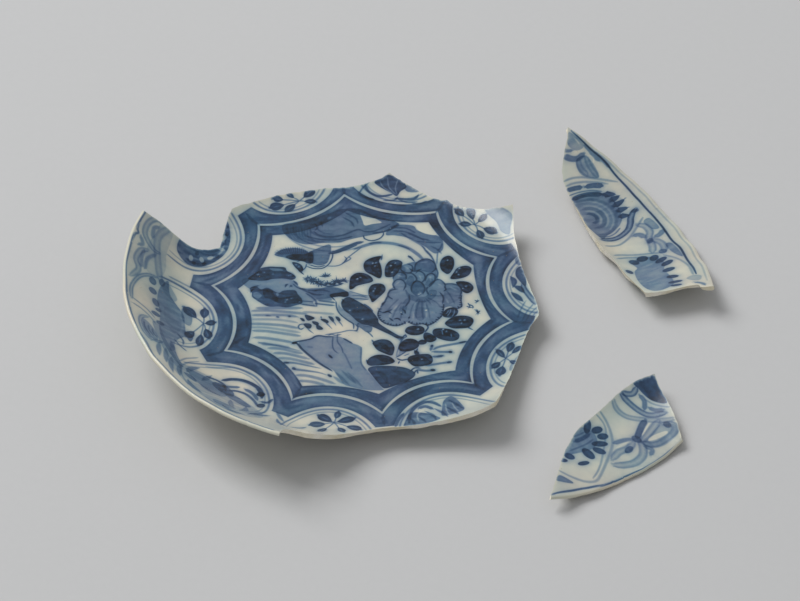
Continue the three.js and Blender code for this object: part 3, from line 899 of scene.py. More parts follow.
    # Roots of the bush: the broad dark mass under the leaves.
    found += [Wash(
        ((2.4, -40), (4, -38.5), (8, -38), (14, -38.3), (19, -39.4), (22.6, -42), (22.5, -44.4),
         (19.4, -47.4), (15, -49.5), (10.5, -51.4), (8.2, -50.4), (3.4, -42.4)), 0.76, 0.12, 0.16)]
    found += strokes(
        2.4, 0.4, "leaf", ((6, -41), (9.6, -44.6), (10.6, -49)), ((13, -41), (17, -42.6), (21, -44)))
    found += strokes(
        0.7, 0.75, "even", ((21, -41), (22.6, -39.4), (25, -39.4)),
        ((22.4, -42.4), (23.6, -40.6), (24, -42.6)), ((15, -33.6), (17, -34.6), (19.6, -34)),
        ((15.6, -36.6), (16, -35.4)), ((16.4, -22), (17.6, -20.6), (18.6, -19), (19, -20.2)),
        ((24, -27.6), (23.4, -29.4), (24.6, -30.6)), ((27.6, -12.6), (28.6, -14.6), (27.2, -17.4)))
    found += strokes(
        0.45, 0.6, "even", ((16.2, -24.6), (17.4, -21.8), (19.4, -20)),
        ((17, -31), (18.6, -29.6), (20, -28)), ((18, -32), (20.4, -30.6)), ((14.6, -33), (17, -31)))
    found += [Wash(
        ((14.6, -20.6), (18, -20.4), (17, -23.4), (15.4, -27), (14.4, -31.8), (15.6, -32.6), (18.6, -29.6),
         (16.4, -27.4), (16.8, -24)), 0.3, 0.1)]
    found += [Brush(((22.6, -28.6), (23.6, -30.2), (23.4, -31.8)), 2.2, 0.8, "leaf")]
    # Marks on the ground to the right.
    found += strokes(
        0.6, 0.8, "tail", ((46.4, 0), (47, -1.4), (46.4, -2.8)), ((47.2, -0.6), (48.4, -1.6), (48.2, -3)),
        ((45.8, -1.6), (47, -2.2), (48.6, -2.4)), ((49.6, -4), (50.4, -5.2), (51.4, -6)),
        ((51.4, -4.4), (50.4, -5.4), (49.8, -6.4)), ((50.2, -3.8), (50.6, -5.4), (50.4, -7)),
        ((49.4, 2.2), (50.4, 1.6), (51.2, 2.2)), ((49.8, 1), (50.6, 1.8), (50.4, 2.8)))
    return found


def grasses():
    """Reeds on the right and needle tufts by the branch."""
    found = strokes(
        1.2, 0.5, "even", ((31, -28), (33.4, -26.4), (42, -24.2), (45.4, -23.2)),
        ((30.6, -29.4), (34.6, -29.6), (38.6, -29.6)), ((30.5, -32.4), (33, -32.4), (34.8, -32)),
        ((27.6, -38), (35.6, -36.2), (38.2, -36)), ((24, -40.4), (27.6, -41), (31, -40.8)),
        ((29.6, -28.6), (30, -27), (30.4, -25.6)))
    found += [
        oval(38.3, -29.6, 1.7, 1.5, 0, 0.75), oval(33.8, -32, 3, 1.2, 8, 0.5),
        oval(37.8, -35.8, 2.2, 1.5, 20, 0.6), oval(30.6, -40.6, 2.2, 1.6, 0, 0.75),
        oval(43.6, -23.6, 3, 1, 14, 0.7), oval(30.2, -25.8, 1.6, 1.2, 60, 0.7)]
    tufts = (
        (-22.4, 14.6, 2.6, 20, 340, 12), (-19.4, 13, 2.6, 0, 330, 11), (-16.6, 16.8, 2.6, 20, 170, 7),
        (-11.6, 13.4, 2.8, -40, 230, 13), (-8.6, 14.2, 2.2, -30, 200, 8), (-15.6, 12, 2.4, 20, 200, 8),
        (-24.4, 15.4, 2.2, 60, 260, 7), (-13.6, 11.4, 2, 20, 160, 5))
    for tuft in tufts:
        found += needles(*tuft)
    found += strokes(0.7, 0.7, "even", ((-22, 14), (-16, 11), (-12, 11.4), (-9, 12.6)))
    return found


def water():
    """Ripples: long soft grey-blue strokes, each a little lower to the right."""
    found = strokes(
        1.5, 0.32, "even", ((-48.6, -4.4), (-42, -4.2), (-25, -6.2)), ((-48.4, -7), (-35, -7), (-29, -8)),
        ((-49, -12.4), (-42, -12.6), (-35, -13.4), (-28.6, -15)),
        ((-48, -16.6), (-41, -17.1), (-27.6, -19.8)), ((-47.4, -20.8), (-42, -21.2), (-31, -23.6)),
        ((-41, -27.2), (-35, -27.7), (-30, -29.4), (-26.4, -30.4)),
        ((-38.6, -30.2), (-33, -30.6), (-24, -33.6)), ((-36.6, -33.2), (-31, -33.8), (-21.4, -37)),
        ((-28.6, -43.6), (-24, -44), (-18, -46), (-12.4, -48.6)),
        ((-27.4, -46.9), (-22, -47.6), (-16.4, -49.6)), ((-46.6, -2.6), (-33, -2.8), (-27, -2.6)))
    found += strokes(
        1.2, 0.22, "even", ((-48.6, -9.6), (-42, -9.6), (-35, -10.2), (-29, -11.6)),
        ((-48.6, -14.6), (-41, -14.9), (-28, -17.6)), ((-44, -25), (-38, -25.4), (-32, -26.8)),
        ((-26, -5), (-20, -5.6), (-13, -6.2)))
    found += strokes(
        1.25, 0.42, "tail", ((-45, -24), (-36, -26), (-27, -29)),
        ((-33.8, -36.3), (-29, -36.4), (-18, -39.6)), ((-30.4, -39.9), (-20, -41.8), (-15.4, -43.6)))
    found += [
        oval(-41.6, -7.4, 2.2, 0.8, -10, 0.4), oval(-37.4, -8.2, 1.6, 1, -30, 0.5),
        oval(-32.2, -7.8, 1.3, 1, 0, 0.6), oval(-14.2, -44, 2.6, 1.2, -40, 0.7),
        oval(-33.2, -36, 2.4, 1.1, -10, 0.6), oval(-29.8, -39.6, 2, 1.4, -60, 0.6)]
    return found


def small_flowers():
    """Dark blossoms floating left of the standing bird."""
    found = [
        Wash(points, 0.8, 0.15) for points in (
            ((-25.4, -6.8), (-21.2, -8.6), (-22.6, -10), (-24.4, -10.2)),
            ((-27.6, -8.8), (-26, -9.2), (-25.4, -10.8), (-26.6, -10.6)),
            ((-26, -12.4), (-23.4, -12.2), (-22.4, -13.4), (-23, -15.2), (-24.6, -15)),
            ((-22.2, -10.8), (-20, -11.2), (-19.2, -12.6), (-20.4, -13.2), (-21.8, -12.2)),
            ((-20.4, -13), (-19, -13.4), (-17.4, -15.2), (-18, -16), (-20, -15.6)),
            ((-18.6, -9.6), (-16.6, -9.4), (-15, -10.8), (-15.8, -12)),
            ((-15.2, -7.8), (-13.4, -8.2), (-12.6, -10.4), (-13.4, -11)),
            ((-12, -7.8), (-10.6, -8.2), (-9.8, -10), (-10.4, -11), (-11.6, -9.4)))]
    found += strokes(
        0.5, 0.6, "tail", ((-16, -12), (-14.6, -13.8), (-13.4, -15.6)),
        ((-13, -11), (-12.2, -12.2), (-11.8, -13.4)), ((-10.4, -11), (-9.4, -12.6), (-8.8, -14)),
        ((-24, -15.6), (-22.8, -17), (-21.4, -18.4)))
    found += strokes(
        0.6, 0.7, "even", ((-25.8, -12.6), (-27.6, -12.8), (-28.2, -14.4), (-27.2, -15.8), (-26, -15)),
        ((-18.4, -7.9), (-18.2, -9)))
    return found


def clouds():
    """The cloud banks at the top: mid-blue washes brushed in curves, and two long strokes under them."""
    found = [
        Wash(
            ((-36, 45.8), (-34, 42.6), (-30, 39.1), (-27, 37.8), (-24, 37.6), (-15, 38.8), (-10, 39),
             (-5, 41), (9, 45), (13, 47), (16, 50.4), (10, 54), (4, 56), (-2, 60), (-10, 60), (-16, 57),
             (-30, 52), (-36, 50)), 0.5, 0.14, 0.16),
        Wash(
            ((12, 48.4), (16, 50), (22, 49.4), (24, 46.5), (28, 44.4), (32, 43.4), (35, 41), (35.6, 36),
             (34.6, 33), (32, 31.6), (29.6, 33.4), (27, 36.4), (20, 41.5), (14, 43.2), (10, 43.6)), 0.47,
            0.14, 0.16)]
    # Curved hairs of the brush: round the middle of the bank, and comb-like at its left end.
    for k in range(5):
        size = 5.5 + 2.6 * k
        turn = np.linspace(188 - 3 * k, 268 + 9 * k, 6)
        found.append(Brush(polar(size, turn) * (1.35, 0.92) + (-13.5, 49 - 0.3 * k), 0.7, 0.3))
    for k in range(9):
        x = -33.6 + 1.3 * k
        found.append(Brush(
            ((x - 0.6, 49.4 - 0.2 * k), (x, 45 - 0.5 * k), (x + 1.6 + 0.3 * k, 41.4 - 0.35 * k)), 0.55, 0.3))
    found += strokes(
        0.8, 0.5, "even", ((-22, 45.6), (-20, 43.4), (-15, 42.2), (-9, 43.4), (-3, 46.6), (0, 46)),
        ((0, 45.6), (5, 46), (12, 50.4)), ((-25, 42.6), (-19, 40.6), (-12, 40.4), (-5, 42.4)),
        ((4, 44.4), (9, 45.6), (13, 48), (15.4, 50.6)), ((-22, 50.8), (-20.6, 48.4), (-21.6, 46.4)),
        ((-19, 52.4), (-18.4, 49)), ((-9, 54.4), (-5.6, 51.8), (-4.4, 49)),
        ((-8, 57.4), (-3.6, 54), (-2.6, 51)))
    found += strokes(
        0.8, 0.42, "even", ((17, 44.4), (20, 41.6), (26, 36.6), (28, 32.8), (30.4, 29.6)),
        ((13, 46), (18, 45.6), (22.6, 43.4), (27, 40)), ((14, 48), (19, 47.6), (23, 45)),
        ((20, 44.6), (24, 42), (29.4, 40)), ((24, 39.4), (30, 38.6), (34.4, 38.6)),
        ((30.6, 36), (33, 34), (34.4, 32)), ((35, 38), (34.4, 35.4), (33, 33.4)))
    found += cleared([
        Wash(((-1.6, 58), (3, 55.4), (7, 52.6), (8, 51.2), (4, 50.4), (0.6, 49.4), (-0.4, 52)), 0.85, 0),
        Wash(
            ((23.4, 49.4), (26, 50.8), (29.8, 50.6), (30.4, 48), (32.6, 43.6), (28.4, 44), (25, 46)), 0.9,
            0)])
    # White spots in the clouds: painted glints of the glaze, and pinholes.
    found += cleared(glints_and_pinholes(0.8, (-15.4, 54.2, 2.2), (-39, 48.2, 0.8), (12, 47.8, 0.5), (-27.2, 50.2, 0.8)))
    # Long strokes under the clouds.
    found += [
        Brush(
            ((-4, 34.6), (4, 38), (10, 38.4), (15, 37.4), (20, 34.9), (24, 31.2), (26.6, 27.6)), 1.7, 0.42),
        Brush(((15.4, 37), (18.6, 35.6), (20.6, 34.2)), 0.6, 0.6),
        Brush(((2.6, 37.9), (5, 38.6), (8, 38.8)), 0.8, 0.5)]
    found += strokes(
        0.5, 0.45, "even", ((26, 36.4), (31, 27.6), (32.6, 21.6)), ((28, 33.6), (30.2, 30), (31.6, 26)),
        ((33, 32.4), (32.8, 29), (32.6, 25)))
    found += strokes(0.6, 0.8, "even", ((0, 43), (0.6, 41), (3.6, 39.8), (7, 41), (8.8, 43.4), (8.8, 45)))
    return found


# ---------------------------------------------------------------- the lobes round the star, and the wall


def curved(width, tone, shape, *lines):
    """Several brush strokes whose points are each an angle and a radius."""
    return strokes(width, tone, shape, *(about(*line) for line in lines))


def sprig(middle, *leaves):
    """A sprig in a lobe: leaves given by angle, radius, length and width, drop-shaped, with their points
    towards its middle, and each with a bare vein."""
    centre = np.array(about(middle)[0])
    found = []
    for angle, r, long, short in leaves:
        place = np.array(about((angle, r))[0])
        away = (place - centre) / max(np.hypot(*place - centre), 0.1) * long * 0.85
        tip, end = (place - away, place + away * 0.9)
        found.append(Brush((tip, place + (0.1, 0.1), end), short * 1.5, 0.74, "petal"))
        found.append(Brush((centre, (centre + tip) / 2 + 0.2, tip), 0.45, 0.5))
        found += cleared([Brush((tip + away * 0.5, place, place + away * 0.4), 0.34, 0.4)])
    return found


def lobe_frames():
    """The grey lines that frame the lobes: each runs beside the star's edge, then out between the panels."""
    found = []
    for k in range(len(STAR_POINTS)):
        a, lobe, b = (STAR_POINTS[k], STAR_LOBES[k], STAR_POINTS[(k + 1) % len(STAR_POINTS)])
        turn = (b[0] - a[0]) % 360
        for lift, side, width, tone in ((1.8, 4.4, 0.9, 0.42), (3.4, 6.2, 0.45, 0.3)):
            ends = (
                polar(a[1] + 12, a[0] + side)[0], polar(lobe[1] + lift, lobe[0])[0],
                polar(b[1] + 12, a[0] + turn - side)[0])
            found.append(Brush(arc_through(*ends, 9), width, tone))
    return found


def sprigs():
    """The lobes that hold a sprig of dark leaves."""
    found = sprig(
        (190, 71), (184.8, 69.9, 3.6, 2.7), (190, 67.8, 2.8, 2.3), (195.3, 70.4, 3.8, 2.6),
        (184.8, 76.2, 4.6, 3.2), (195.2, 78.3, 3.6, 2.6), (198, 74.8, 4.6, 2.4))
    found += sprig(
        (260.5, 73.5), (255.5, 77, 4.2, 3.3), (257, 71.6, 4.4, 2.9), (264.5, 71, 4.8, 2.6),
        (267.5, 76.5, 4.2, 2.8), (261, 68.3, 2.8, 2), (258, 81.6, 3.6, 2), (263.5, 79, 3, 2.2))
    found += sprig(
        (331.5, 70.7), (325.4, 73, 3.6, 3), (327, 69.2, 3, 2.2), (333, 67.4, 3.6, 2),
        (337.5, 69.6, 3.8, 2.4), (337, 73, 3.6, 1.8), (330.8, 75, 2.4, 1.6))
    found += sprig(
        (45, 70.3), (39, 72.8, 4, 2.8), (45, 75.2, 3, 2.2), (49.8, 74.4, 4.6, 2.6), (53.3, 71.8, 3.4, 2.4),
        (47.8, 67.8, 3.2, 2.3), (40.2, 68, 3.4, 2.4))
    found += sprig(
        (114, 71.3), (109.4, 74, 4, 2.8), (116, 75.7, 2.6, 1.6), (120.5, 76, 2.8, 2.2), (122.4, 72.8, 4, 3),
        (118.5, 69.2, 3.8, 2.5), (110.3, 69.2, 3.2, 2))
    # Petals washed in beside the sprigs.
    found += [
        Wash(
            about((35, 80), (33, 77.5), (36, 76), (40, 77.6), (44, 78), (47, 79.5), (44, 83), (38, 84)),
            0.3),
        Wash(about((186, 80), (183, 79), (184, 76), (188, 75.5), (191, 77), (190, 79.5)), 0.3),
        Wash(about((328.6, 75), (326.6, 77), (330, 79), (335, 78), (337, 75.6), (333, 74.8)), 0.25)]
    return found


def scroll_lobes():
    """The lobes between them: each holds a scroll, a ribbon or a half flower."""
    # Right: bars and a tied ribbon.
    found = curved(
        2.6, 0.66, "leaf", ((1.2, 70.4), (3.4, 68.4), (6.2, 65.8)), ((5.4, 71.4), (8, 69.6), (9.4, 67.4)),
        ((9, 67), (12, 68.2), (14.6, 67.4)))
    found += curved(2.4, 0.56, "ribbon", ((359.4, 76), (6.4, 72), (9.6, 71.4)))
    found += [
        Wash(about((8.4, 72.4), (12, 73.6), (17.8, 74), (17.8, 71.4), (15, 69.8), (12, 70.4)), 0.68),
        Wash(about((20.2, 77), (18.6, 75), (19.8, 72.4), (22.4, 73), (23, 76)), 0.4)]
    found += curved(
        0.6, 0.36, "even", ((351.4, 70.6), (356, 72.2), (359.4, 75)),
        ((351.6, 72.4), (355, 73.8), (358, 77)), ((352, 74.6), (354.6, 75.6), (356.4, 78)),
        ((352.6, 68.4), (357, 69.4), (1, 71.4)))
    # Top right: a fan tied with ribbons.
    found += [
        Wash(
            about(
                (82, 80.2), (84.4, 78.6), (86.4, 76.6), (84.6, 74.4), (80, 71.4), (77.8, 70), (77, 73),
                (75.4, 76), (78, 78.8)), 0.72, 0.1, 0.2),
        Wash(
            about((69.6, 77), (71, 74.6), (74.4, 73.6), (76, 75.6), (74.4, 77.8), (71.6, 78.6)), 0.45, 0.1)]
    found += cleared(curved(
        0.4, 0.45, "even", ((77.8, 71), (79, 74.4), (78.8, 78.4)), ((78.2, 71), (81.2, 74.4), (82.2, 78.8)),
        ((78.6, 71), (83, 74), (84.6, 77))))
    found += curved(
        1.2, 0.6, "even", ((70.4, 73), (71.4, 70.4), (74.6, 69), (78, 68.6)),
        ((79.6, 70.6), (84, 68.8), (88, 71), (89.6, 75)), ((86, 66.4), (90, 68), (92, 71)))
    found += curved(
        0.8, 0.55, "even", ((77.4, 69.4), (78.2, 67.4), (82, 66.4)), ((76.6, 68), (73, 67.4), (70, 69)),
        ((88, 77), (90, 74), (91.6, 70.6)), ((66.6, 71), (68.4, 68.6), (71, 67.4)))
    # Top left: a broad dark scroll with a bank beside it.
    found += [Wash(
        about(
            (140.6, 79.4), (143, 74.6), (147, 71), (151.6, 69.2), (156, 69.8), (160.4, 72.4), (163.4, 76.6),
            (164.2, 82), (161.6, 87), (156.4, 87), (154, 80), (150, 77), (145, 80.4)), 0.6, 0.15, 0.35)]
    found += curved(
        1.5, 0.5, "even", ((142.6, 79), (145, 75.4), (148.6, 73), (153, 73.2), (155.6, 77), (156.6, 83)),
        ((160.6, 73.6), (162.6, 77.6), (162.6, 82)), ((149, 76.4), (152, 75.2), (153.6, 77)))
    found += cleared(curved(0.9, 0.5, "even", ((144, 76.8), (151.4, 71.4), (155.4, 71.8), (158, 74))))
    bare = (
        ((159.8, 76.4), 100), ((157.4, 73.6), 40), ((146.6, 74.4), 70), ((161.4, 80.6), 80),
        ((151.6, 71.8), 160))
    found += cleared([oval(*about(at)[0], 3.4, 1.9, lean, 0.5) for at, lean in bare])
    pools = about(
        (142.6, 77.4), (149.4, 73), (155.4, 71.4), (162.6, 78.6), (158.4, 79.4), (161, 74.8), (144.6, 74.6))
    found += [oval(*at, 2.4, 1.7, 60, 0.5) for at in pools]
    # Bottom left: a scroll band with a white middle and dark knots.
    found += curved(
        2.1, 0.72, "even",
        ((218.5, 77.4), (219.5, 73.6), (221.6, 70.6), (225, 68.8), (229, 68.6), (231.6, 70.2), (233, 72)))
    found += cleared(curved(
        0.6, 0.7, "even", ((219.6, 76), (220.6, 73), (222.6, 70.8), (225.4, 69.6), (228.6, 69.4))))
    found += curved(
        1.3, 0.6, "even", ((224, 80.4), (225, 77.2), (228, 75.2), (232, 76), (235, 78.4)),
        ((216, 83), (218, 80), (221, 79), (224, 82)), ((234, 74.4), (236, 73), (236.4, 70)))
    found += curved(
        1.6, 0.5, "even", ((220.4, 82), (222.4, 77.4), (224, 74)),
        ((226, 73), (229.4, 72.6), (232.6, 74.4)))
    found += [
        oval(*about((231.6, 70.6))[0], 3.6, 3, 0, 0.8), oval(*about((235.4, 76.9))[0], 4, 3, 30, 0.72),
        Wash(about((219, 81), (222, 78.6), (226, 79.6), (227, 83), (223, 85), (219.6, 84)), 0.5, 0.1, 0.2)]
    # Bottom right: a half flower between ribbons.
    found += [
        Wash(
            about((283.4, 79), (285, 73), (287.6, 69.6), (291, 71), (293.6, 74), (295, 79.4), (289, 80)),
            0.46, 0.1, 0.35),
        Wash(
            about((296.6, 78), (298.4, 72.4), (301, 68.6), (304.4, 68.4), (304.8, 74), (303, 80)), 0.44,
            0.1, 0.35)]
    found += curved(
        1.5, 0.56, "even", ((285.4, 76), (287, 70.4), (290, 66.8), (294, 65.7), (297, 67.6), (298.4, 71)),
        ((280.8, 77), (282.4, 72.4), (285, 69)), ((291, 68), (293.6, 68.2), (295.4, 71)))
    found += curved(
        1.3, 0.5, "leaf", ((292.6, 71), (294, 75), (293.6, 79.6)), ((296, 71), (297.4, 76), (297.4, 80)),
        ((299.6, 72), (300.6, 77), (300.4, 82)), ((302.4, 69.6), (303.4, 74), (303.6, 79)),
        ((286.6, 72.6), (287, 76), (286.6, 79)), ((289.4, 73), (290.2, 76), (290.4, 79)))
    found += cleared(curved(
        0.6, 0.5, "even", ((288.6, 76), (289.4, 71.6), (292, 69.6)), ((298.4, 79), (299, 75), (300.4, 71)),
        ((301.6, 79), (302, 75), (302.6, 72))))
    return found


def dark_points():
    """Darker pools where the broad bands of the star meet in its points."""
    return curved(
        1.6, 0.4, "leaf", ((201.6, 55), (202.6, 58), (204, 63)), ((242.4, 57.4), (242.8, 61), (242.6, 66)),
        ((97, 70), (97.2, 72.4), (97.2, 75)), ((26.4, 66), (26.6, 70), (26.6, 75)),
        ((60.8, 66), (60.8, 70), (60.8, 74)), ((133, 68), (133.4, 72), (133.2, 77)),
        ((170.2, 68), (170.2, 72), (170.4, 76)), ((350.6, 66), (350.6, 70), (350.6, 75)),
        ((314.6, 68), (314.6, 72), (314.6, 76)), ((277.4, 67), (277.4, 71), (277.4, 75)),
        ((205.6, 67), (205.6, 71), (205.6, 76)))


def rim_line():
    """The fine line just inside the rim, with the hitch where the painter's brush met its own start."""
    line = about(
        (158, 103.1), (162, 103.3), (165, 102.8), (166.2, 101.9), (167.4, 102.9), (172, 103.4),
        (180, 103.7), (190, 103.3), (200, 103.8), (205, 103), (212, 103.6), (225, 103.6), (240, 103.4),
        (249, 103.4))
    return [Brush(line, 1, 0.6)]


def wall_panels():
    """What is left of the wall's panels on the left: a tied knot, a half chrysanthemum and a swirl."""
    found = rim_line()
    # Knot, in thick soft ribbons over a thin wash.
    found += [Wash(
        about((158, 96), (162, 96), (168, 97), (175, 96), (177, 91), (172, 88), (166, 89.5), (158, 91)),
        0.1)]
    found += curved(
        2.4, 0.36, "ribbon",
        ((158, 95.4), (158.8, 98.6), (161.4, 100.2), (164.6, 99.8), (166.4, 97.6), (167.8, 94.4),
         (167.6, 92)), ((169.2, 96.4), (171, 99), (174.4, 100), (177.4, 98.4), (181, 101.4)))
    found += curved(3.0, 0.26, "ribbon", ((157.6, 92.4), (161.4, 94.4), (165, 94.2), (172, 91), (177, 89)))
    found += curved(
        1.5, 0.38, "even", ((168.8, 93), (172, 95.6), (176, 96)),
        ((166.6, 100.6), (168.4, 99), (169.6, 100.4)), ((160, 96), (161.6, 97.4), (164.6, 96.4)),
        ((170, 97.6), (172.6, 98), (176, 97.4)))
    # Half chrysanthemum, a dark body with a fringe of petals.
    found += [
        Wash(
            about(
                (175, 86), (178, 88.4), (181, 89.6), (185, 90.2), (190, 89.8), (198, 92.6), (204, 93.4),
                (211, 93.6), (213, 92), (207, 90), (202, 88), (198.6, 84.6), (196, 80.6), (190, 79.2),
                (186, 79.4), (180, 84.6)), 0.46, 0.15, 0.3),
        Wash(
            about((176, 86), (177.4, 88), (180, 87.4), (182, 83.6), (180.6, 81.6), (178, 83.4)), 0.24, 0.1),
        Wash(about((186, 87), (191, 88), (196, 86), (194, 82), (189, 80.6), (186, 82.6)), 0.16, 0)]
    petals = (
        (178.5, 92.2, 4.6, 2.9), (182.2, 92, 3.9, 3.2), (186.2, 91, 4.6, 3), (191, 91.8, 3, 3.6),
        (194.2, 90.8, 2.6, 3.6), (177, 88.4, 4.8, 2.4), (188.8, 90.2, 2.2, 2.6))
    for angle, r, wide, high in petals:
        found.append(oval(*about((angle, r))[0], wide, high, angle + 90, 0.6))
    found += curved(
        1.7, 0.46, "ribbon",
        ((176.2, 91), (177.4, 94.4), (179.4, 97.4), (182, 99.6), (185, 101.2), (188.8, 101.5)))
    found += curved(
        0.8, 0.36, "even", ((188.6, 101), (190.8, 95.4), (193, 92.8)),
        ((190.6, 101.4), (191.6, 97.8), (193.4, 94.8), (195.4, 93.4)),
        ((175.4, 76), (174.4, 80), (174.2, 85), (175.4, 90)), ((173.4, 76), (172.8, 81), (173, 86)))
    found += curved(
        0.8, 0.62, "even", ((199.4, 86.6), (201.6, 85.4), (203.6, 83.6)),
        ((196, 84), (198.6, 82.6), (200.6, 83.4)))
    found += [Wash(about((194.4, 80.4), (198.6, 79.6), (197, 77.4), (194.8, 77.8)), 0.62, 0.1)]
    # Swirl, with ribbons that run off to the right.
    found += [
        Wash(
            about(
                (195, 94.4), (199, 94.8), (205, 95.4), (212, 96), (214, 93.6), (208, 91.6), (200, 91.4),
                (195, 91.6)), 0.3),
        Wash(
            about((195.4, 98.4), (197, 95.8), (200.4, 94.8), (203, 96.4), (202.4, 99), (199, 99.8)), 0.4,
            0.2, 0.2)]
    found += curved(
        1.9, 0.46, "ribbon", ((193.8, 96), (194.6, 98.8), (197, 100.5), (200.6, 100.8), (203.6, 99.4)))
    found += curved(
        0.7, 0.55, "even", ((196.4, 98.6), (198.6, 99.4), (201.4, 98.6)),
        ((197.4, 97.2), (199.4, 97.8), (201.4, 97)), ((198.4, 96), (200, 96.4), (201.4, 95.6)))
    found += curved(
        2.2, 0.46, "leaf", ((203.4, 99), (203.4, 96.4), (202.6, 93.4)),
        ((203.5, 95.6), (206.4, 98), (209.6, 100.2)), ((205.4, 94), (209.4, 97), (212.4, 99.6)),
        ((209, 94), (213, 98), (216.6, 101)), ((206, 92.4), (204, 90), (201, 89)),
        ((212, 92.4), (215, 96), (218, 99)))
    # The worn panels below: soft grey touches.
    found += [Wash(
        about(
            (210, 96), (214, 98.6), (222, 100), (232, 100), (239, 97), (241, 90), (239, 83), (232, 80),
            (225, 81), (216, 82), (212, 88)), 0.17, 0.1, 0.5)]
    found += [
        Wash(
            about(
                (213, 90.6), (215, 85), (219, 82.6), (225, 83), (227, 87), (225, 91), (220, 92.4),
                (216, 92)), 0.38, 0.1, 0.3),
        Wash(about((215.8, 94.4), (217.6, 95), (220, 93.6), (219, 91.8), (216.6, 92)), 0.55, 0.1),
        Wash(about((225.4, 84), (228, 85), (233, 84.4), (234, 81.4), (229, 80), (226, 81)), 0.5, 0.1, 0.3),
        Wash(
            about((229, 96.6), (230.6, 99), (233.4, 98.6), (235, 95), (234, 92.4), (231, 93.6)), 0.4, 0.1,
            0.4)]
    found += curved(
        2.4, 0.5, "leaf", ((220.6, 92), (223.6, 91.4), (227, 88.6)), ((229, 86), (231.4, 90), (234, 94)),
        ((233.6, 84), (235.4, 88), (235.8, 93)), ((219.4, 96.6), (222, 98.4), (226, 98.6)),
        ((211.6, 83), (212.8, 88), (215.4, 92.6)), ((237.4, 91), (238.6, 87), (241, 82)),
        ((215.6, 80.6), (217, 84.4), (218.4, 88)), ((221, 78.6), (222.4, 82.4), (224.4, 85)),
        ((232.4, 97.4), (235.6, 98.6), (238.4, 96)))
    found += curved(
        0.7, 0.36, "even", ((211, 79), (214, 70), (217.5, 66.5), (222, 64.9)),
        ((208.4, 81), (209.4, 86), (212.4, 92), (217, 97), (222, 100)),
        ((206.4, 80), (207.6, 86), (210, 91)), ((228, 99.6), (233, 100.4), (238, 99)),
        ((238.6, 80), (237.8, 86), (238.4, 93)))
    found += curved(
        1.6, 0.5, "leaf", ((241, 76), (243.6, 79.4), (246, 82.6)),
        ((243.6, 82), (245.6, 86), (248.6, 88.4)), ((249.6, 88), (252, 85), (253, 81.6)))
    # The wall's strokes are paled: partly painted shade for the wall turned from the light, partly the
    # thicker glaze there.
    return paled_for_shade_and_glaze(found)


def main_painting():
    """All of the large sherd's strokes, in the order in which they were laid."""
    parts = (
        water, rocks_and_bank, clouds, star_border, dark_points, lobe_frames, sprigs, scroll_lobes,
        wall_panels, flying_bird, standing_bird, small_flowers, grasses, leaves, peony)
    return [stroke for part in parts for stroke in part()]


# ---------------------------------------------------------------- the loose sherds' panels


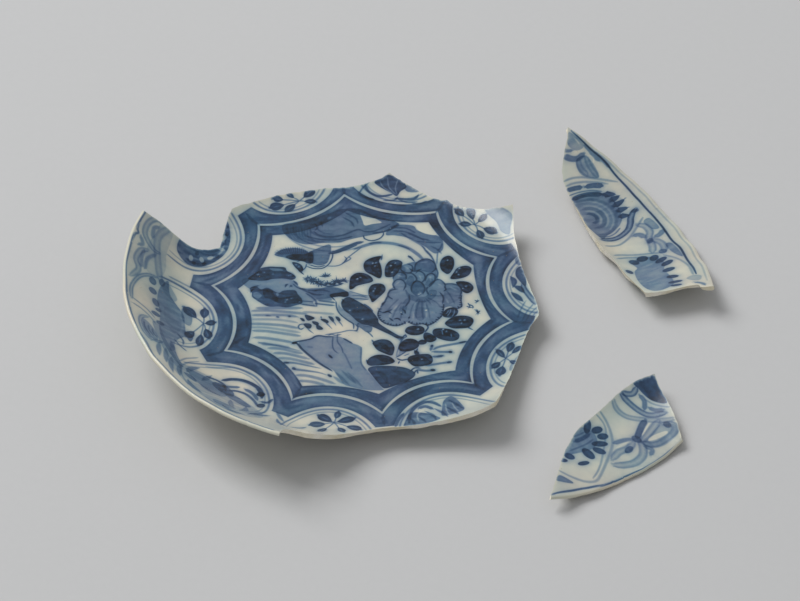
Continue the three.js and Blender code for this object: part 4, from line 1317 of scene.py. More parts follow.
def long_painting():
    """The long sherd's wall: two half chrysanthemums between ribbons, dividers, and the dark rim line."""
    found = [
        Wash(((83.4, 51), (85.4, 55.6), (88, 52), (89.6, 47.4), (87, 46), (84.6, 47.4)), 0.36, 0.15, 0.3),
        Wash(
            ((76, 24.6), (80, 25.4), (85, 24.4), (88.6, 22), (90.6, 18), (90.8, 12), (89.6, 6), (87, 2.6),
             (83, 0.4), (79, -1), (75.6, -2.4), (73.6, 5), (73, 12), (74, 20)), 0.52, 0.12, 0.3),
        Wash(
            ((74, -29), (77, -26.6), (77.4, -22.6), (81, -20.8), (84.6, -21.6), (86.8, -25), (86.4, -31),
             (84, -33.4), (82.4, -38), (80.6, -43), (77.4, -47.4), (71, -48), (68.6, -44), (70.4, -36)),
            0.42, 0.12, 0.25),
        Wash(((84, -51), (83.4, -47), (86.6, -46.4), (88.4, -48.6), (86, -51.4)), 0.2),
        Wash(((84.4, 42), (84, 36), (86, 32.6), (90, 30), (90.4, 36), (88.6, 42.4)), 0.34, 0.2, 0.3)]
    # Growth lines round the heart of the upper flower, dark and bare by turns.
    for radius, tone in ((3, 0.55), (6.4, 0.3), (11.4, 0.3)):
        found.append(Brush(
            polar(radius, np.linspace(-105, 98, 7)) * (0.86, 1) + (78.6, 11.4), 1.6, tone))
    for radius in (4.8, 8, 10.4):
        found += cleared([Brush(
            polar(radius, np.linspace(-64, 86, 7)) * (0.86, 1) + (78.6, 11.4), 0.8, 0.3)])
    found += strokes(
        2.4, 0.74, "even", ((76.4, 24.4), (80, 25), (84, 24.2), (88, 21.6)),
        ((76.4, 29.9), (79.6, 29.8), (82.6, 29)), ((84, 28.5), (87, 27.4), (89.8, 25.4)))
    found += strokes(
        3.2, 0.86, "tail", ((89, 21), (90.6, 20), (92.6, 18.6)), ((90, 17), (91.8, 17), (93.6, 17.4)),
        ((90, 13.6), (92, 13.8), (94.4, 14.6)), ((90, 10.2), (91.8, 10), (93.8, 9.6)),
        ((89.4, 7), (90.8, 6.2), (92.4, 5.4)))
    found += strokes(
        2.5, 0.78, "ribbon",
        ((95.8, 7.2), (94, 6), (92, 3.6), (90.6, 1), (88.4, -1.6), (85, -3.3), (81, -4), (75, -3)))
    found += [oval(95, 6.4, 3, 2, -20, 0.6)]
    found += strokes(
        0.6, 0.6, "even", ((75, -0.6), (79, -1.6), (83, -1), (86.4, 1)),
        ((75, 26.8), (80, 27.2), (85, 25.8), (88.6, 23)))
    petals = (
        (78.6, -22.2, 4.4, 3.6, 100), (82.6, -21.8, 4.4, 4, 60), (86, -24.2, 4.4, 3, 40),
        (86.8, -27.4, 5, 2.8, 20), (87, -30.9, 5.2, 2.7, 8), (84.4, -35.6, 4.8, 2.7, -10),
        (81.8, -41.4, 4, 2.8, -40), (79.4, -46, 4.6, 2.4, -30), (77.6, -48.8, 4, 2, -30),
        (71.8, -28.2, 3.6, 2.8, 100))
    found += [oval(*petal, 0.84) for petal in petals]
    # The upper ribbons.
    found += strokes(2.6, 0.58, "even", ((80.6, 46), (82.8, 43.6), (85.4, 42.6), (88.4, 43.8)))
    found += strokes(
        2.2, 0.34, "ribbon", ((85.4, 42), (85, 38), (86.4, 33.4)), ((88.6, 42), (88.6, 37), (89.6, 31)))
    found += strokes(
        1.4, 0.5, "even", ((83, -52), (84, -55), (83.4, -57)), ((80, 50), (82, 47.8), (84.4, 47)),
        ((89.8, 47.4), (91, 44.4), (91.6, 40.6), (93, 37.4)), ((92.4, 42.6), (94, 38), (95.6, 32.6)))
    found += cleared(strokes(
        0.6, 0.6, "even", ((90.4, 42), (91.2, 39.8), (90.6, 38)), ((87, 51.6), (88, 48.6))))
    # The lower ribbons.
    found += strokes(
        2.7, 0.38, "ribbon", ((92.2, -1.4), (94, -4), (93.8, -8), (91.8, -11), (90.6, -13.4)),
        ((92.4, -13.4), (93.2, -17), (92.6, -20), (91, -23)), ((91, -13.4), (89.8, -17), (87.8, -20.4)))
    found += strokes(
        2.2, 0.46, "even", ((88, -6.4), (90, -7), (90.8, -10)), ((93.4, -12.4), (95.8, -12), (98, -10.4)))
    found += [
        Wash(((95, -1), (97.4, -0.6), (98, -5), (97.4, -8.4), (95.4, -7.6), (94.6, -4)), 0.36),
        oval(91, -13.2, 3.4, 2.6, 60, 0.5), oval(90.6, -22.6, 3.4, 2.8, 60, 0.55),
        Wash(((94, -19), (95.8, -20), (95, -26), (93.4, -31), (92.6, -27), (93, -22)), 0.42, 0.2, 0.3)]
    found += strokes(0.8, 0.3, "even", ((89.4, -25), (91, -30), (91.2, -35), (90, -40), (87, -46)))
    # Dividers.
    found += strokes(
        0.9, 0.34, "even", ((76.6, 34.8), (80, 35), (84, 33.6), (88, 30.8), (95.4, 24.6)),
        ((76.6, 32.2), (80, 32.4), (84, 31.1), (88, 28.6), (91.6, 25.6)),
        ((74, -7.6), (80, -8.4), (84, -7.4), (88, -5.2), (95.6, 1)),
        ((73.4, -14.8), (78, -15.4), (86, -20), (89.4, -23)), ((73.6, -17.4), (78, -17.8), (82, -19.8)))
    found += [
        Brush(
            ((86.6, 56), (93.6, 40), (96.4, 28), (98.4, 14), (99.2, -3), (97, -18), (95.8, -26), (91, -40),
             (88, -46.4)), 0.8, 1),
        Brush(polar(102.4, np.arange(-32, 33, 6)), 0.6, 0.2)]
    # The wall's strokes are paled as on the large sherd: partly painted shade, partly the thicker glaze on
    # the wall.
    return paled_for_shade_and_glaze(found)


def small_painting():
    """The small sherd's wall: a knot with ribbons between dividers, and a half chrysanthemum."""
    found = [
        Wash(((66.4, 44), (72, 42.2), (80.6, 40.6), (77.5, 36), (71, 34.2), (67, 34)), 0.92, 0.1, 0.2),
        Wash(
            ((78.6, 4), (82, 5.6), (86, 3.8), (87.2, -1), (86.6, -6), (85.6, -11), (84, -12.4), (81, -7),
             (78.4, -2), (76.8, 1)), 0.42, 0.2, 0.2),
        Wash(((92, -22), (94.5, -20), (97.2, -19), (94.5, -23.8), (93.2, -25)), 0.5),
        Wash(
            ((90.4, 36.6), (94, 36), (95.8, 31), (96.4, 24), (94.4, 20.4), (92, 21), (90.4, 26),
             (88.4, 32)), 0.26, 0.1, 0.3)]
    found += strokes(
        2.6, 0.6, "ribbon", ((70, 33.6), (71.8, 31), (71.2, 28.6), (69.6, 26.6)),
        ((69.5, 26.3), (73, 26.6), (80.6, 29.2), (83.4, 32), (84.4, 37)))
    found += strokes(
        1.8, 0.55, "even", ((73.6, 33), (76.6, 33.2), (80, 31)), ((80, 33), (82, 34.6), (83, 37.4)))
    found += strokes(2.4, 0.68, "even", ((84.4, 28.2), (86, 25.2), (90, 19.8)))
    found += strokes(
        2.9, 0.36, "ribbon", ((86.6, 32.4), (91, 23.4), (91.8, 20.4)),
        ((88.4, 33), (90, 36), (92.6, 35.4), (94.4, 32), (95.4, 27), (94.8, 23), (92.4, 20.4)),
        ((91, 17.6), (92.6, 13.6), (92.6, 9), (94.2, 4.4)))
    found += strokes(
        3.3, 0.36, "ribbon", ((91.6, 19.8), (95, 18.8), (98, 15.8), (99.2, 11), (98.4, 6.6), (96.8, 3)))
    found += strokes(
        1.8, 0.46, "even", ((90, 18), (88.8, 15), (88.4, 10)), ((94.4, 20), (96.8, 21.6), (98.6, 19.4)))
    found += cleared([
        Wash(((91.6, 32), (93, 31.4), (93.4, 26), (92.6, 22.8), (91.4, 26)), 0.75, 0),
        Brush(((85.6, 29.4), (87.6, 26), (89.6, 22.6)), 0.6, 0.7),
        Brush(((90.4, 17), (90.2, 13.6), (90.6, 9.6)), 1, 0.5)])
    found += [
        oval(90.3, 19.4, 3.8, 3.2, 40, 0.6), oval(89.4, 34.2, 3.2, 2.8, 40, 0.6),
        oval(93.2, 13.4, 4.6, 2.5, 100, 0.6)]
    found += strokes(1.8, 0.6, "even", ((81, 3.4), (81.6, -0.4), (81.6, -4.4)))
    found += strokes(
        0.6, 0.5, "even", ((83.6, 3.4), (84.4, -1), (84.4, -9)), ((79.4, 2), (79.6, -1.4), (79.4, -4)))
    petals = (
        (77.8, 4.6, 6.4, 3.2, -45), (80.6, 7.6, 5, 3.2, 80), (84, 8, 5, 2.8, 82), (86.4, 4.6, 6.6, 2.7, 72),
        (89, 2.2, 5.2, 3, 50), (88.4, -2.9, 6, 3.8, 18), (91.3, -8, 5, 2, 80), (86.4, -11.2, 4.4, 3, 40),
        (87, -15, 3.6, 1.8, 70))
    found += [oval(*petal, 0.86) for petal in petals]
    # Dividers and rim line.
    found += strokes(
        1, 0.3, "even",
        ((73, 13.4), (79, 13.6), (85, 11.6), (90, 7.6), (98, -4.6), (100, -9.6), (98.2, -14), (94, -18),
         (90, -20.6)))
    found += strokes(
        0.6, 0.34, "even", ((73.6, 11), (79, 12), (84, 9.6), (92.4, 0.6), (96.4, -5), (98.4, -9.4)),
        ((76, 33.9), (79, 35.4), (81.6, 38), (83, 40.6)))
    found += strokes(
        2.3, 0.32, "ribbon", ((70.6, 21.6), (75, 20.8), (79, 22), (82, 25), (86.6, 33), (88.2, 39)))
    found += [Brush(
        ((97.8, 35), (99.8, 29), (102.9, 14), (103.1, -4), (101.8, -12), (98.8, -25), (97.8, -32)), 0.9,
        0.76)]
    # The wall's strokes are paled as on the large sherd: partly painted shade, partly the thicker glaze on
    # the wall.
    return paled_for_shade_and_glaze(found)


# ---------------------------------------------------------------- painting and building a sherd


def paint(xy, strokes, bleed):
    """Density of cobalt at each point: each stroke darkens what lies under it, and a reserve clears it."""
    # A thin even haze of cobalt lies over the whole face.
    bare = 0.955 + 0.03 * random_tone(xy, 7, 21) + 0.015 * random_tone(xy, 1.6, 22)
    for stroke in strokes:
        low, high = stroke.reach()
        near = np.flatnonzero(((xy > low) & (xy < high)).all(1))
        if not len(near):
            continue
        cover, tone = stroke.cover(xy[near], bleed)
        if stroke.reserve:
            bare[near] += (1 - bare[near]) * cover * tone
        else:
            bare[near] *= 1 - np.clip(cover * tone, 0, 0.98)
    return 1 - bare


def painted_net(loop, strokes, bleed):
    """The net of a sherd's upper face: an even scatter of points, and edges along each stroke."""
    lines = []
    for stroke in strokes:
        for line, closed in stroke.rings(bleed):
            inside = in_polygon(line, loop)
            if inside.all():
                lines.append((line, closed))
                continue
            if closed:
                line, inside = np.vstack((line, line[:1])), np.append(inside, inside[0])
            cuts = np.flatnonzero(np.diff(inside.astype(int))) + 1
            for piece, kept in zip(np.split(line, cuts), np.split(inside, cuts)):
                if kept[0] and len(piece) > 1:
                    lines.append((piece, False))
    points = scattered(loop, FACE_STEP, 0.45)
    if lines:
        cell = 0.4
        taken = np.floor(np.vstack([line for line, _ in lines]) / cell).astype(int)
        cells = np.floor(points / cell).astype(int)
        points = points[~np.isin(cells @ (1, 10007), taken @ (1, 10007))]
    return net(loop, points, lines)


def back_height(r):
    """Height of the underside at a radius: the foot ring's section, and the wall's underside elsewhere."""
    steps = np.linspace(0, INNER_END, 600)
    under = through_wall(np.column_stack((steps, np.zeros_like(steps))))
    wall = np.interp(r, under[:, 0], under[:, 2])
    foot = np.array(FOOT_SECTION)[::-1]
    return np.where((r > foot[0, 0]) & (r < foot[-1, 0]), np.interp(r, *foot.T), wall)


def back_net(loop):
    """The net of the underside, with rings of points where the foot ring's section turns."""
    points = scattered(loop, BACK_STEP, 1.0)
    low, high = FOOT_SECTION[-1][0] - 0.4, FOOT_SECTION[0][0] + 0.4
    r = np.hypot(*points.T)
    rings = [polar(radius, np.arange(0, 360, 0.5)) for radius, _ in FOOT_SECTION]
    rings = np.vstack(rings)
    rings = rings[in_polygon(rings, loop)]
    verts, faces = net(loop, np.vstack((points[(r < low) | (r > high)], rings)), [])
    return verts, faces


def strip_rows(front, back, rough, seed):
    """Rows of points down the wall's edge, from the upper face to the underside.
    On a break they cross straight and rough. At the rim they go round the lip in a half circle."""
    xy, heights = front[:, :2], front[:, 2]
    r = np.hypot(*xy.T)
    out = xy / r[:, None]
    at_rim = (r > INNER_END - 0.01)[:, None]
    sideways = normals_of(xy, closed=True)
    run = np.arange(len(xy)) * BREAK_STEP
    lean = math.atan(LIP_SLOPE)
    lip_r = RIM_RADIUS - LIP_RADIUS
    lip_z = upper_height(INNER_END) - LIP_RADIUS * math.cos(lean)
    uneven = heights - upper_height(r)
    rows = []
    for k in range(1, STRIP_ROWS):
        share = k / STRIP_ROWS
        broken = front + (back - front) * share
        grain = random_tone(np.column_stack((run, np.full(len(run), k * 0.55))), 1.1, seed)
        grain += 0.8 * random_tone(np.column_stack((run, np.full(len(run), k * 0.35))), 3.7, seed + 1)
        broken[:, :2] += sideways * (grain * rough * math.sin(math.pi * share) ** 0.5)[:, None]
        angle = math.pi / 2 + lean - math.pi * share
        lip = np.column_stack((out * (lip_r + LIP_RADIUS * math.cos(angle)),
                               lip_z + LIP_RADIUS * math.sin(angle) + uneven * (1 - share)))
        rows.append(np.where(at_rim, lip, broken))
    return rows, at_rim[:, 0]


def undercut(walk):
    """Plan points of a sherd's edge drawn inwards, all but the rim: the breaks slant back under the glaze."""
    out = normals_of(walk, closed=True)
    span = np.arange(-6, 7)
    eased = sum(np.roll(out, k, 0) for k in span) / len(span)
    share = np.clip((INNER_END - np.hypot(*walk.T)) / 3, 0, 1)
    run = np.arange(len(walk)) * BREAK_STEP
    depth = UNDERCUT * (1 + 0.35 * random_tone(np.column_stack((run, walk[:, 0])), 9, 51))
    return walk - eased * (depth * share)[:, None]


def waver_rim(verts, waver):
    """Corners near the rim moved out, in, up and down: it wavers as thrown and dried, with small nicks.
    The shift is read on the rim circle, so it is the same all through the wall. It fades out further in."""
    r = np.maximum(np.hypot(*verts[:, :2].T), 1e-6)
    on_rim = verts[:, :2] * (RIM_RADIUS / r)[:, None]
    share = smoothstep(r, RIM_RADIUS - WAVER_FADE, RIM_RADIUS - 1)
    outwards = waver * (random_tone(on_rim, 10, 61) + 0.15 * random_tone(on_rim, 3.4, 62))
    nicks = 2.7 * waver * np.clip(random_tone(on_rim, 2, 63) - 0.72, 0, None)
    verts[:, :2] *= (1 + (outwards - nicks) * share / r)[:, None]
    verts[:, 2] += waver * random_tone(on_rim, 8, 64) * share


def lit_and_splintered_edge(xy, loop):
    """How much cobalt is left at each point: it fades to white along the breaks, partly a painted highlight
    for the lit top of each break, partly glaze splintered off there.
    """
    far, _, _ = nearest_on(xy, np.vstack((loop, loop[:1])))
    lit_edge = np.exp(-(far / LIT_EDGE_WIDTH) ** 2) * (0.75 + 0.25 * random_tone(xy, 1.7, 71))
    return np.where(np.hypot(*xy.T) < INNER_END - 0.3, 1 - lit_edge, 1)


def turned(roll, lean, turn):
    """The matrix that rolls about X, leans about Y, then turns about Z, by degrees."""
    angles = np.radians((roll, lean, turn))
    (cr, cl, ct), (sr, sl, st) = np.cos(angles), np.sin(angles)
    about_x = np.array(((1, 0, 0), (0, cr, -sr), (0, sr, cr)))
    about_y = np.array(((cl, 0, sl), (0, 1, 0), (-sl, 0, cl)))
    about_z = np.array(((ct, -st, 0), (st, ct, 0), (0, 0, 1)))
    return about_z @ about_y @ about_x


def build_sherd(name, node, runs, strokes, sizes, pose=None):
    """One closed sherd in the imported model's frame, painted, with its glaze and its bare breaks."""
    loop = outline_of(runs)
    bleed = sizes.brush_bleed / MM
    xy, faces = painted_net(loop, strokes, bleed)
    walk = border(faces)
    r = np.hypot(*xy.T)
    uneven = sizes.glaze_unevenness / MM * (
        random_tone(xy, 21, 31) + 0.45 * random_tone(xy, 8.5, 32) + 0.12 * random_tone(xy, 3.1, 33))
    front = np.column_stack((xy, upper_height(r) + uneven))
    edge = front[walk]
    behind = through_wall(undercut(edge[:, :2]))
    rows, at_rim = strip_rows(edge, behind, sizes.break_roughness / MM, 41)
    back_xy, back_faces = back_net(behind[:, :2])
    # The underside's own corners round its edge are swapped for the ends of the strip.
    far_walk = border(back_faces)
    nearest = np.array([np.argmin(((back_xy[far_walk] - p) ** 2).sum(1)) for p in behind[:, :2]])
    if len(far_walk) != len(walk) or len(np.unique(nearest)) != len(walk):
        raise RuntimeError(f"{name}: the underside's edge doesn't match the upper face's")
    far_walk = far_walk[nearest]
    back = np.column_stack((back_xy, back_height(np.hypot(*back_xy.T))))
    back[far_walk] = behind

    # Corners: the upper face, the rows of the strip, then the underside.
    verts = np.vstack([front] + rows + [back])
    waver_rim(verts, LOOSE_RIM_WAVER if pose else RIM_WAVER)
    n = len(walk)
    tops = [walk] + [len(front) + n * k + np.arange(n) for k in range(STRIP_ROWS - 1)]
    first_back = len(front) + n * (STRIP_ROWS - 1)
    tops.append(first_back + far_walk)
    strips = []
    for upper, lower in zip(tops, tops[1:]):
        strips.append(np.column_stack((upper, lower, np.roll(lower, -1), np.roll(upper, -1))))
    quads = np.vstack(strips)
    lip_quads = np.tile(at_rim & np.roll(at_rim, -1), STRIP_ROWS)
    under = back_faces[:, ::-1] + first_back
    if pose:
        *angles, x, y = pose
        verts = verts @ turned(*angles).T
        verts += (x, y, -verts[:, 2].min())
    verts[:, :2] += DISH_AXIS

    mesh = bpy.data.meshes.new(name)
    mesh.from_pydata(verts * MM, [], faces.tolist() + quads.tolist() + under.tolist())
    if mesh.validate():
        raise RuntimeError(f"{name}: the mesh had bad faces")
    density = np.zeros(len(verts), np.float32)
    # The blue fades to white along the breaks: partly a painted highlight for the lit break top, partly
    # splintered glaze.
    density[:len(front)] = paint(xy, strokes, bleed) * lit_and_splintered_edge(xy, loop)
    mesh.attributes.new("cobalt", "FLOAT", "POINT").data.foreach_set("value", density)

    # Glaze is the first material, bare paste the second: on the breaks and where the foot ring stands.
    foot_r = np.hypot(*back_xy.T)[back_faces].mean(1)
    bare_foot = (foot_r > FOOT_SECTION[4][0] - 0.2) & (foot_r < FOOT_SECTION[1][0] + 0.2)
    bare = np.concatenate((np.zeros(len(faces)), ~lip_quads, bare_foot)).astype(np.int32)
    mesh.polygons.foreach_set("material_index", bare)
    mesh.shade_smooth()
    mesh.set_sharp_from_angle(angle=0.75)
    lay_out(mesh, faces, under, xy, back_xy, n)
    piece = bpy.data.objects.new(name, mesh)
    bpy.context.scene.collection.objects.link(piece)
    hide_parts(node)
    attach(piece, "root")
    return piece


# How much of the map's square the upper face, the underside and the strip take up.
FACE_SHARE = 0.8
UNDER_SHARE = 0.18
STRIP_SHARE = 0.1


def lay_out(mesh, faces, under, xy, back_xy, n):
    """The sherd's own map: the upper face over most of the square, the strip above it, a small underside."""
    span = np.ptp(xy, axis=0).max() / FACE_SHARE
    top = (xy - xy.min(0)) / span + 0.004
    back_span = np.ptp(back_xy, axis=0).max() / UNDER_SHARE
    bottom = (back_xy - back_xy.min(0)) / back_span + (0.815, 0.01)
    column = np.tile(np.arange(n), STRIP_ROWS)[:, None] + (0, 0, 1, 1)
    row = np.repeat(np.arange(STRIP_ROWS), n)[:, None] + (0, 1, 1, 0)
    strip = np.stack((column / n * 0.99, 0.84 + row / STRIP_ROWS * STRIP_SHARE), 2)
    first_back = len(xy) + n * (STRIP_ROWS - 1)
    parts = (top[faces], strip, bottom[under - first_back])
    corners = np.vstack([part.reshape(-1, 2) for part in parts])
    mesh.uv_layers.new(name="OFBake").data.foreach_set("uv", corners.ravel())


# ---------------------------------------------------------------- materials


def add_node(tree, kind, settings=None, links=None):
    """Adds a shader node, sets its properties and unlinked sockets, and links its other inputs."""
    node = tree.nodes.new("ShaderNode" + kind)
    for name, value in (settings or {}).items():
        if isinstance(name, int) or name in node.inputs:
            node.inputs[name].default_value = value
        else:
            setattr(node, name, value)
    for name, source in (links or {}).items():
        tree.links.new(source, node.inputs[name])
    return node


def colour_stops(ramp, stops):
    """Sets a colour ramp's stops from (place, linear colour) pairs."""
    elements = ramp.color_ramp.elements
    while len(elements) < len(stops):
        elements.new(0.5)
    for element, (place, colour) in zip(elements, stops):
        element.position = place
        element.color = (*colour, 1)


def new_material(name):
    """A material with an empty node tree."""
    material = bpy.data.materials.new(name)
    material.use_nodes = True
    material.node_tree.nodes.clear()
    return material


def cobalt_under_glaze(colours):
    """Porcelain painted in cobalt and dipped in clear glaze: the blue runs a little and pools darker,
    the glaze is faintly green-grey where thick, with fine pale brown specks, and it shines softly."""
    material = new_material("cobalt_under_clear_glaze")
    tree = material.node_tree
    place = add_node(tree, "TexCoord").outputs["Object"]
    density = add_node(tree, "Attribute", {"attribute_name": "cobalt"}).outputs["Fac"]
    # Mottling of the pigment, in lumps of about 1.5 mm and finer.
    grains = {"Scale": 650.0, "Detail": 3.0, "Roughness": 0.6}
    mottle = add_node(tree, "TexNoise", grains, {"Vector": place})
    offset = add_node(tree, "MapRange", {"To Min": -0.16, "To Max": 0.16}, {"Value": mottle.outputs["Fac"]})
    swing = add_node(tree, "Math", {"operation": "MULTIPLY"}, {0: offset.outputs[0], 1: density})
    added = {"operation": "ADD", "use_clamp": True}
    toned = add_node(tree, "Math", added, {0: density, 1: swing.outputs[0]})
    blue = add_node(tree, "ValToRGB", None, {"Fac": toned.outputs[0]})
    colour_stops(blue, (
        (0.0, colours.glaze), (0.18, colours.wash), (0.42, colours.mid_blue),
        (0.68, colours.deep_blue), (1.0, colours.ink)))
    # The glaze drifts between a warm and a green-grey white over about 30 mm, and the blue under it between
    # violet and teal over about 15 mm.
    drift = add_node(tree, "TexNoise", {"Scale": 33.0, "Detail": 2.0}, {"Vector": place})
    spread = {"From Min": 0.35, "From Max": 0.65}
    drifted = add_node(tree, "MapRange", spread, {"Value": drift.outputs["Fac"]})
    tint = add_node(tree, "Mix", {"data_type": "RGBA"}, {0: drifted.outputs[0]})
    tint.inputs[6].default_value = (*colours.glaze_warm, 1)
    tint.inputs[7].default_value = (*colours.glaze_cool, 1)
    glazed = add_node(tree, "Mix", {"data_type": "RGBA", "blend_type": "MULTIPLY", 0: 1.0},
                      {6: blue.outputs["Color"], 7: tint.outputs[2]})
    ore = add_node(tree, "TexNoise", {"Scale": 70.0, "Detail": 3.0}, {"Vector": place})
    ore_tone = add_node(tree, "ValToRGB", None, {"Fac": ore.outputs["Fac"]})
    colour_stops(ore_tone, ((0.36, colours.ore_violet), (0.64, colours.ore_teal)))
    glazed = add_node(tree, "Mix", {"data_type": "RGBA", "blend_type": "MULTIPLY"},
                      {0: toned.outputs[0], 6: glazed.outputs[2], 7: ore_tone.outputs["Color"]})
    # Specks in the glaze, half a millimetre across; the cells that may hold one are 3 mm across.
    cells = add_node(tree, "TexVoronoi", {"Scale": 330.0}, {"Vector": place})
    speck = add_node(tree, "MapRange", {"From Min": 0.05, "From Max": 0.09, "To Min": 0.55, "To Max": 0.0},
                     {"Value": cells.outputs["Distance"]})
    rare = add_node(tree, "SeparateColor", None, {"Color": cells.outputs["Color"]})
    chosen = add_node(tree, "Math", {"operation": "GREATER_THAN", 1: 0.65}, {0: rare.outputs[0]})
    dots = add_node(tree, "Math", {"operation": "MULTIPLY"}, {0: speck.outputs[0], 1: chosen.outputs[0]})
    specked = add_node(tree, "Mix", {"data_type": "RGBA"}, {0: dots.outputs[0], 6: glazed.outputs[2]})
    specked.inputs[7].default_value = (*colours.speck, 1)
    # Pinholes and ripples in the glaze, about 1 mm across and some ten microns deep.
    ripple = add_node(tree, "TexNoise", {"Scale": 900.0, "Detail": 2.0}, {"Vector": place})
    bump = add_node(tree, "Bump", {"Strength": 0.06, "Distance": 0.0002}, {"Height": ripple.outputs["Fac"]})
    shine = add_node(tree, "MapRange", {"To Min": 0.16, "To Max": 0.3}, {"Value": mottle.outputs["Fac"]})
    surface = add_node(
        tree, "BsdfPrincipled", {"IOR": 1.5},
        {"Base Color": specked.outputs[2], "Roughness": shine.outputs[0], "Normal": bump.outputs[0]})
    add_node(tree, "OutputMaterial", None, {"Surface": surface.outputs[0]})
    return material


def bare_paste(colours):
    """Porcelain paste where it is broken or unglazed: a matt cream body, sugary and a little stained."""
    material = new_material("bare_porcelain_paste")
    tree = material.node_tree
    place = add_node(tree, "TexCoord").outputs["Object"]
    grain = add_node(tree, "TexNoise", {"Scale": 1400.0, "Detail": 4.0}, {"Vector": place})
    stain = add_node(tree, "TexNoise", {"Scale": 120.0, "Detail": 3.0}, {"Vector": place})
    tone = add_node(tree, "ValToRGB", None, {"Fac": stain.outputs["Fac"]})
    colour_stops(tone, ((0.3, colours.paste), (0.75, colours.paste_stained)))
    grey = add_node(tree, "MapRange", {"To Min": 0.82, "To Max": 1.08}, {"Value": grain.outputs["Fac"]})
    shaded = add_node(tree, "VectorMath", {"operation": "SCALE"},
                      {0: tone.outputs["Color"], "Scale": grey.outputs[0]})
    bump = add_node(tree, "Bump", {"Strength": 0.5, "Distance": 0.0002}, {"Height": grain.outputs["Fac"]})
    surface = add_node(tree, "BsdfPrincipled", {"Roughness": 0.85, "IOR": 1.5},
                       {"Base Color": shaded.outputs[0], "Normal": bump.outputs[0]})
    add_node(tree, "OutputMaterial", None, {"Surface": surface.outputs[0]})
    return material


# ---------------------------------------------------------------- the add-on


def length(name, description, default):
    """A size that a user may change, in metres."""
    return FloatProperty(
        name=name, description=description, default=default, min=0.0, subtype="DISTANCE", unit="LENGTH")


def colour(name, description, code):
    """A colour that a user may change, from its sRGB hex value."""
    return FloatVectorProperty(name=name, description=description, default=linear(code), size=3,
                               min=0.0, max=1.0, subtype="COLOR")


class DishSizes(bpy.types.PropertyGroup):
    """How far the blue runs, and how uneven the glaze and the breaks are"""

    brush_bleed: length("Brush bleed", "How far the blue fades at the edge of a stroke", 0.00042)
    glaze_unevenness: length("Glaze unevenness", "How far the glazed face swells and sinks", 0.00012)
    break_roughness: length("Break roughness", "How rough the broken faces are", 0.00022)


class DishColours(bpy.types.PropertyGroup):
    """Colours of the glaze, the cobalt and the bare paste"""

    glaze: colour("Glaze", "Clear glaze over the bare porcelain", "#d7d5ca")
    glaze_warm: colour("Warm tint", "Where the glaze is thin", "#fff8ec")
    glaze_cool: colour("Cool tint", "Where the glaze is thick", "#ebf3ee")
    wash: colour("Pale wash", "The thinnest cobalt", "#9ba8b0")
    mid_blue: colour("Mid blue", "A single coat of cobalt", "#667e98")
    deep_blue: colour("Deep blue", "A full brush of cobalt", "#345172")
    ink: colour("Ink blue", "The darkest lines and leaves", "#0d151f")
    ore_violet: colour("Violet ore", "Where the cobalt ore leans to violet", "#fbeaff")
    ore_teal: colour("Teal ore", "Where the cobalt ore leans to teal", "#dcf8ff")
    speck: colour("Specks", "Iron specks in the glaze", "#94805f")
    paste: colour("Paste", "The broken porcelain", "#f8f4e8")
    paste_stained: colour("Stained paste", "Where the breaks are soiled", "#dfd5b6")


class StageSettings(bpy.types.PropertyGroup):
    """Colour of the floor and strength of the lights"""

    floor: colour("Floor", "The paper the sherds lie on", "#c6c6c6")
    key: FloatProperty(
        name="Key light", description="Power of the large soft light, in watts", default=112.0, min=0.0)
    fill: FloatProperty(
        name="Fill light", description="Strength of the even light from all round", default=0.42, min=0.0)


class DISH_OT_main_sherd(bpy.types.Operator):
    """Build the large sherd: the well, the foot ring and the rim on the left"""

    bl_idname = "dish.main_sherd"
    bl_label = "Large sherd"

    def execute(self, context):
        finish_sherd("large_sherd", "main_sherd", MAIN_BREAKS, main_painting(), context)
        return {"FINISHED"}


class DISH_OT_long_sherd(bpy.types.Operator):
    """Build the long sherd of wall and rim"""

    bl_idname = "dish.long_sherd"
    bl_label = "Long rim sherd"

    def execute(self, context):
        finish_sherd("long_sherd", "long_rim_sherd", LONG_BREAKS, long_painting(), context, LONG_POSE)
        return {"FINISHED"}


class DISH_OT_small_sherd(bpy.types.Operator):
    """Build the small sherd of wall and rim"""

    bl_idname = "dish.small_sherd"
    bl_label = "Small rim sherd"

    def execute(self, context):
        finish_sherd("small_sherd", "small_rim_sherd", SMALL_BREAKS, small_painting(), context, SMALL_POSE)
        return {"FINISHED"}


class DISH_OT_stage(bpy.types.Operator):
    """Lay the pale floor, and set the soft lights and the camera"""

    bl_idname = "dish.stage"
    bl_label = "Stage"

    def execute(self, context):
        set_stage(context.scene, context.scene.dish_stage)
        return {"FINISHED"}


class DISH_PT_panel(bpy.types.Panel):
    """Lists the sherds, the stage and their settings"""

    bl_idname = "DISH_PT_panel"
    bl_label = "Broken Dish"
    bl_space_type = "VIEW_3D"
    bl_region_type = "UI"
    bl_category = "Broken Dish"

    def draw(self, context):
        for operator in OPERATORS:
            self.layout.operator(operator.bl_idname)
        for settings in (context.scene.dish_sizes, context.scene.dish_colours, context.scene.dish_stage):
            box = self.layout.box()
            for name in settings.__annotations__:
                box.prop(settings, name)


OPERATORS = (DISH_OT_main_sherd, DISH_OT_long_sherd, DISH_OT_small_sherd, DISH_OT_stage)
CLASSES = (DishSizes, DishColours, StageSettings, *OPERATORS, DISH_PT_panel)


def finish_sherd(name, node, breaks, strokes, context, pose=None):
    """Builds a sherd and gives it the two materials, which the sherds share."""
    piece = build_sherd(name, node, breaks, strokes, context.scene.dish_sizes, pose)
    makers = {"cobalt_under_clear_glaze": cobalt_under_glaze, "bare_porcelain_paste": bare_paste}
    for title, make in makers.items():
        piece.data.materials.append(bpy.data.materials.get(title) or make(context.scene.dish_colours))


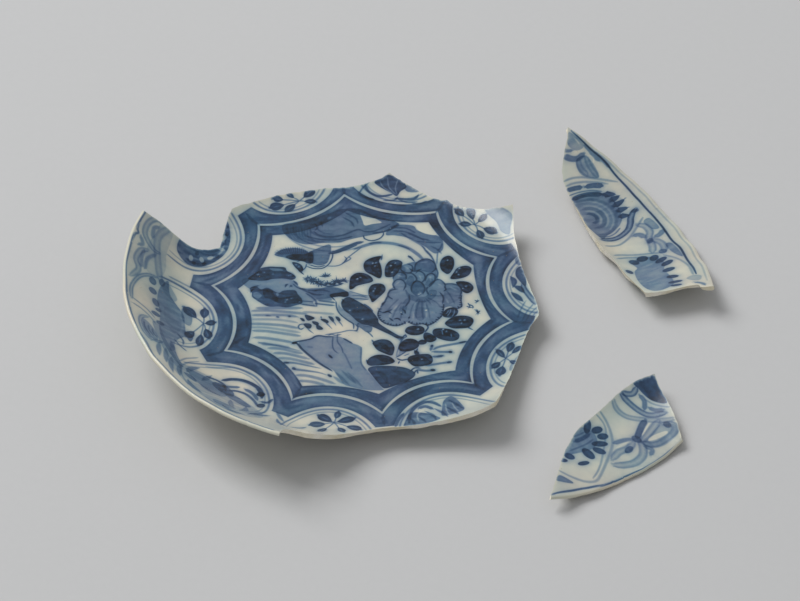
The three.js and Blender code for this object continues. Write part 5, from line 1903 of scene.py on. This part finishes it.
def aimed(data, name, place, target):
    """A camera or light at a place, looking at a target."""
    seen = bpy.data.objects.new(name, data)
    seen.location = place
    seen.rotation_euler = (Vector(target) - Vector(place)).to_track_quat("-Z", "Y").to_euler()
    bpy.context.scene.collection.objects.link(seen)
    return seen


# The camera looks at a point of the well, from 45 degrees above the table, through a long lens.
LOOK_AT = np.array((DISH_AXIS[0] + 16.28, DISH_AXIS[1] + 2.11, FLOOR_HEIGHT)) * MM
CAMERA_DISTANCE = 2.1593
CAMERA_ELEVATION = math.radians(45.03)
CAMERA_LENS = 220.7
SENSOR_WIDTH = 36.0
# Half the floor's side, and the soft light's place and side, in metres.
FLOOR_HALF = 6.0
KEY_PLACE = (-2.0, 1.5, 3.0)
KEY_SIZE = 2.2
SKY = (0.97, 0.985, 1.0, 1)


def set_stage(scene, settings):
    """Lays the floor on z = 0 and sets the camera, the soft light and the sky."""
    plane = bpy.data.meshes.new("floor")
    sides = ((-1, -1), (1, -1), (1, 1), (-1, 1))
    plane.from_pydata([(FLOOR_HALF * x, FLOOR_HALF * y, 0) for x, y in sides], [], [(0, 1, 2, 3)])
    floor = bpy.data.objects.new("floor", plane)
    scene.collection.objects.link(floor)
    paper = new_material("matt_backdrop_paper")
    tree = paper.node_tree
    # Backdrop paper: dead matt, with a faint fibre tone a few millimetres across.
    place = add_node(tree, "TexCoord").outputs["Object"]
    fibre = add_node(tree, "TexNoise", {"Scale": 300.0, "Detail": 3.0}, {"Vector": place})
    grey = add_node(tree, "MapRange", {"To Min": 0.985, "To Max": 1.015}, {"Value": fibre.outputs["Fac"]})
    tone = add_node(tree, "VectorMath", {"operation": "SCALE"}, {"Scale": grey.outputs[0]})
    tone.inputs[0].default_value = settings.floor
    surface = add_node(tree, "BsdfPrincipled", {"Roughness": 0.95, "Specular IOR Level": 0.2},
                       {"Base Color": tone.outputs[0]})
    add_node(tree, "OutputMaterial", None, {"Surface": surface.outputs[0]})
    floor.data.materials.append(paper)

    camera = bpy.data.cameras.new("camera")
    camera.lens = CAMERA_LENS
    camera.sensor_width = SENSOR_WIDTH
    camera.clip_end = 20.0
    back, up = math.cos(CAMERA_ELEVATION), math.sin(CAMERA_ELEVATION)
    scene.camera = aimed(camera, "camera", LOOK_AT + CAMERA_DISTANCE * np.array((0, -back, up)), LOOK_AT)

    # One large soft light high on the left and behind, and an even grey sky.
    key = bpy.data.lights.new("key", "AREA")
    key.shape = "RECTANGLE"
    key.size = KEY_SIZE
    key.size_y = KEY_SIZE
    key.energy = settings.key
    aimed(key, "key", KEY_PLACE, LOOK_AT)
    world = bpy.data.worlds.new("studio")
    world.use_nodes = True
    sky = world.node_tree.nodes["Background"]
    sky.inputs["Color"].default_value = SKY
    sky.inputs["Strength"].default_value = settings.fill
    scene.world = world
    scene.view_settings.view_transform = "Standard"


def register():
    """Registers the classes and hangs their settings on the scene."""
    for made in CLASSES:
        bpy.utils.register_class(made)
    bpy.types.Scene.dish_sizes = PointerProperty(type=DishSizes)
    bpy.types.Scene.dish_colours = PointerProperty(type=DishColours)
    bpy.types.Scene.dish_stage = PointerProperty(type=StageSettings)


def unregister():
    """Takes the settings and the classes away again."""
    del bpy.types.Scene.dish_stage, bpy.types.Scene.dish_colours, bpy.types.Scene.dish_sizes
    for made in reversed(CLASSES):
        bpy.utils.unregister_class(made)


def main():
    """Builds the stage and the sherds."""
    register()
    bpy.ops.dish.stage()
    bpy.ops.dish.main_sherd()
    bpy.ops.dish.long_sherd()
    bpy.ops.dish.small_sherd()


if __name__ == "__main__":
    main()
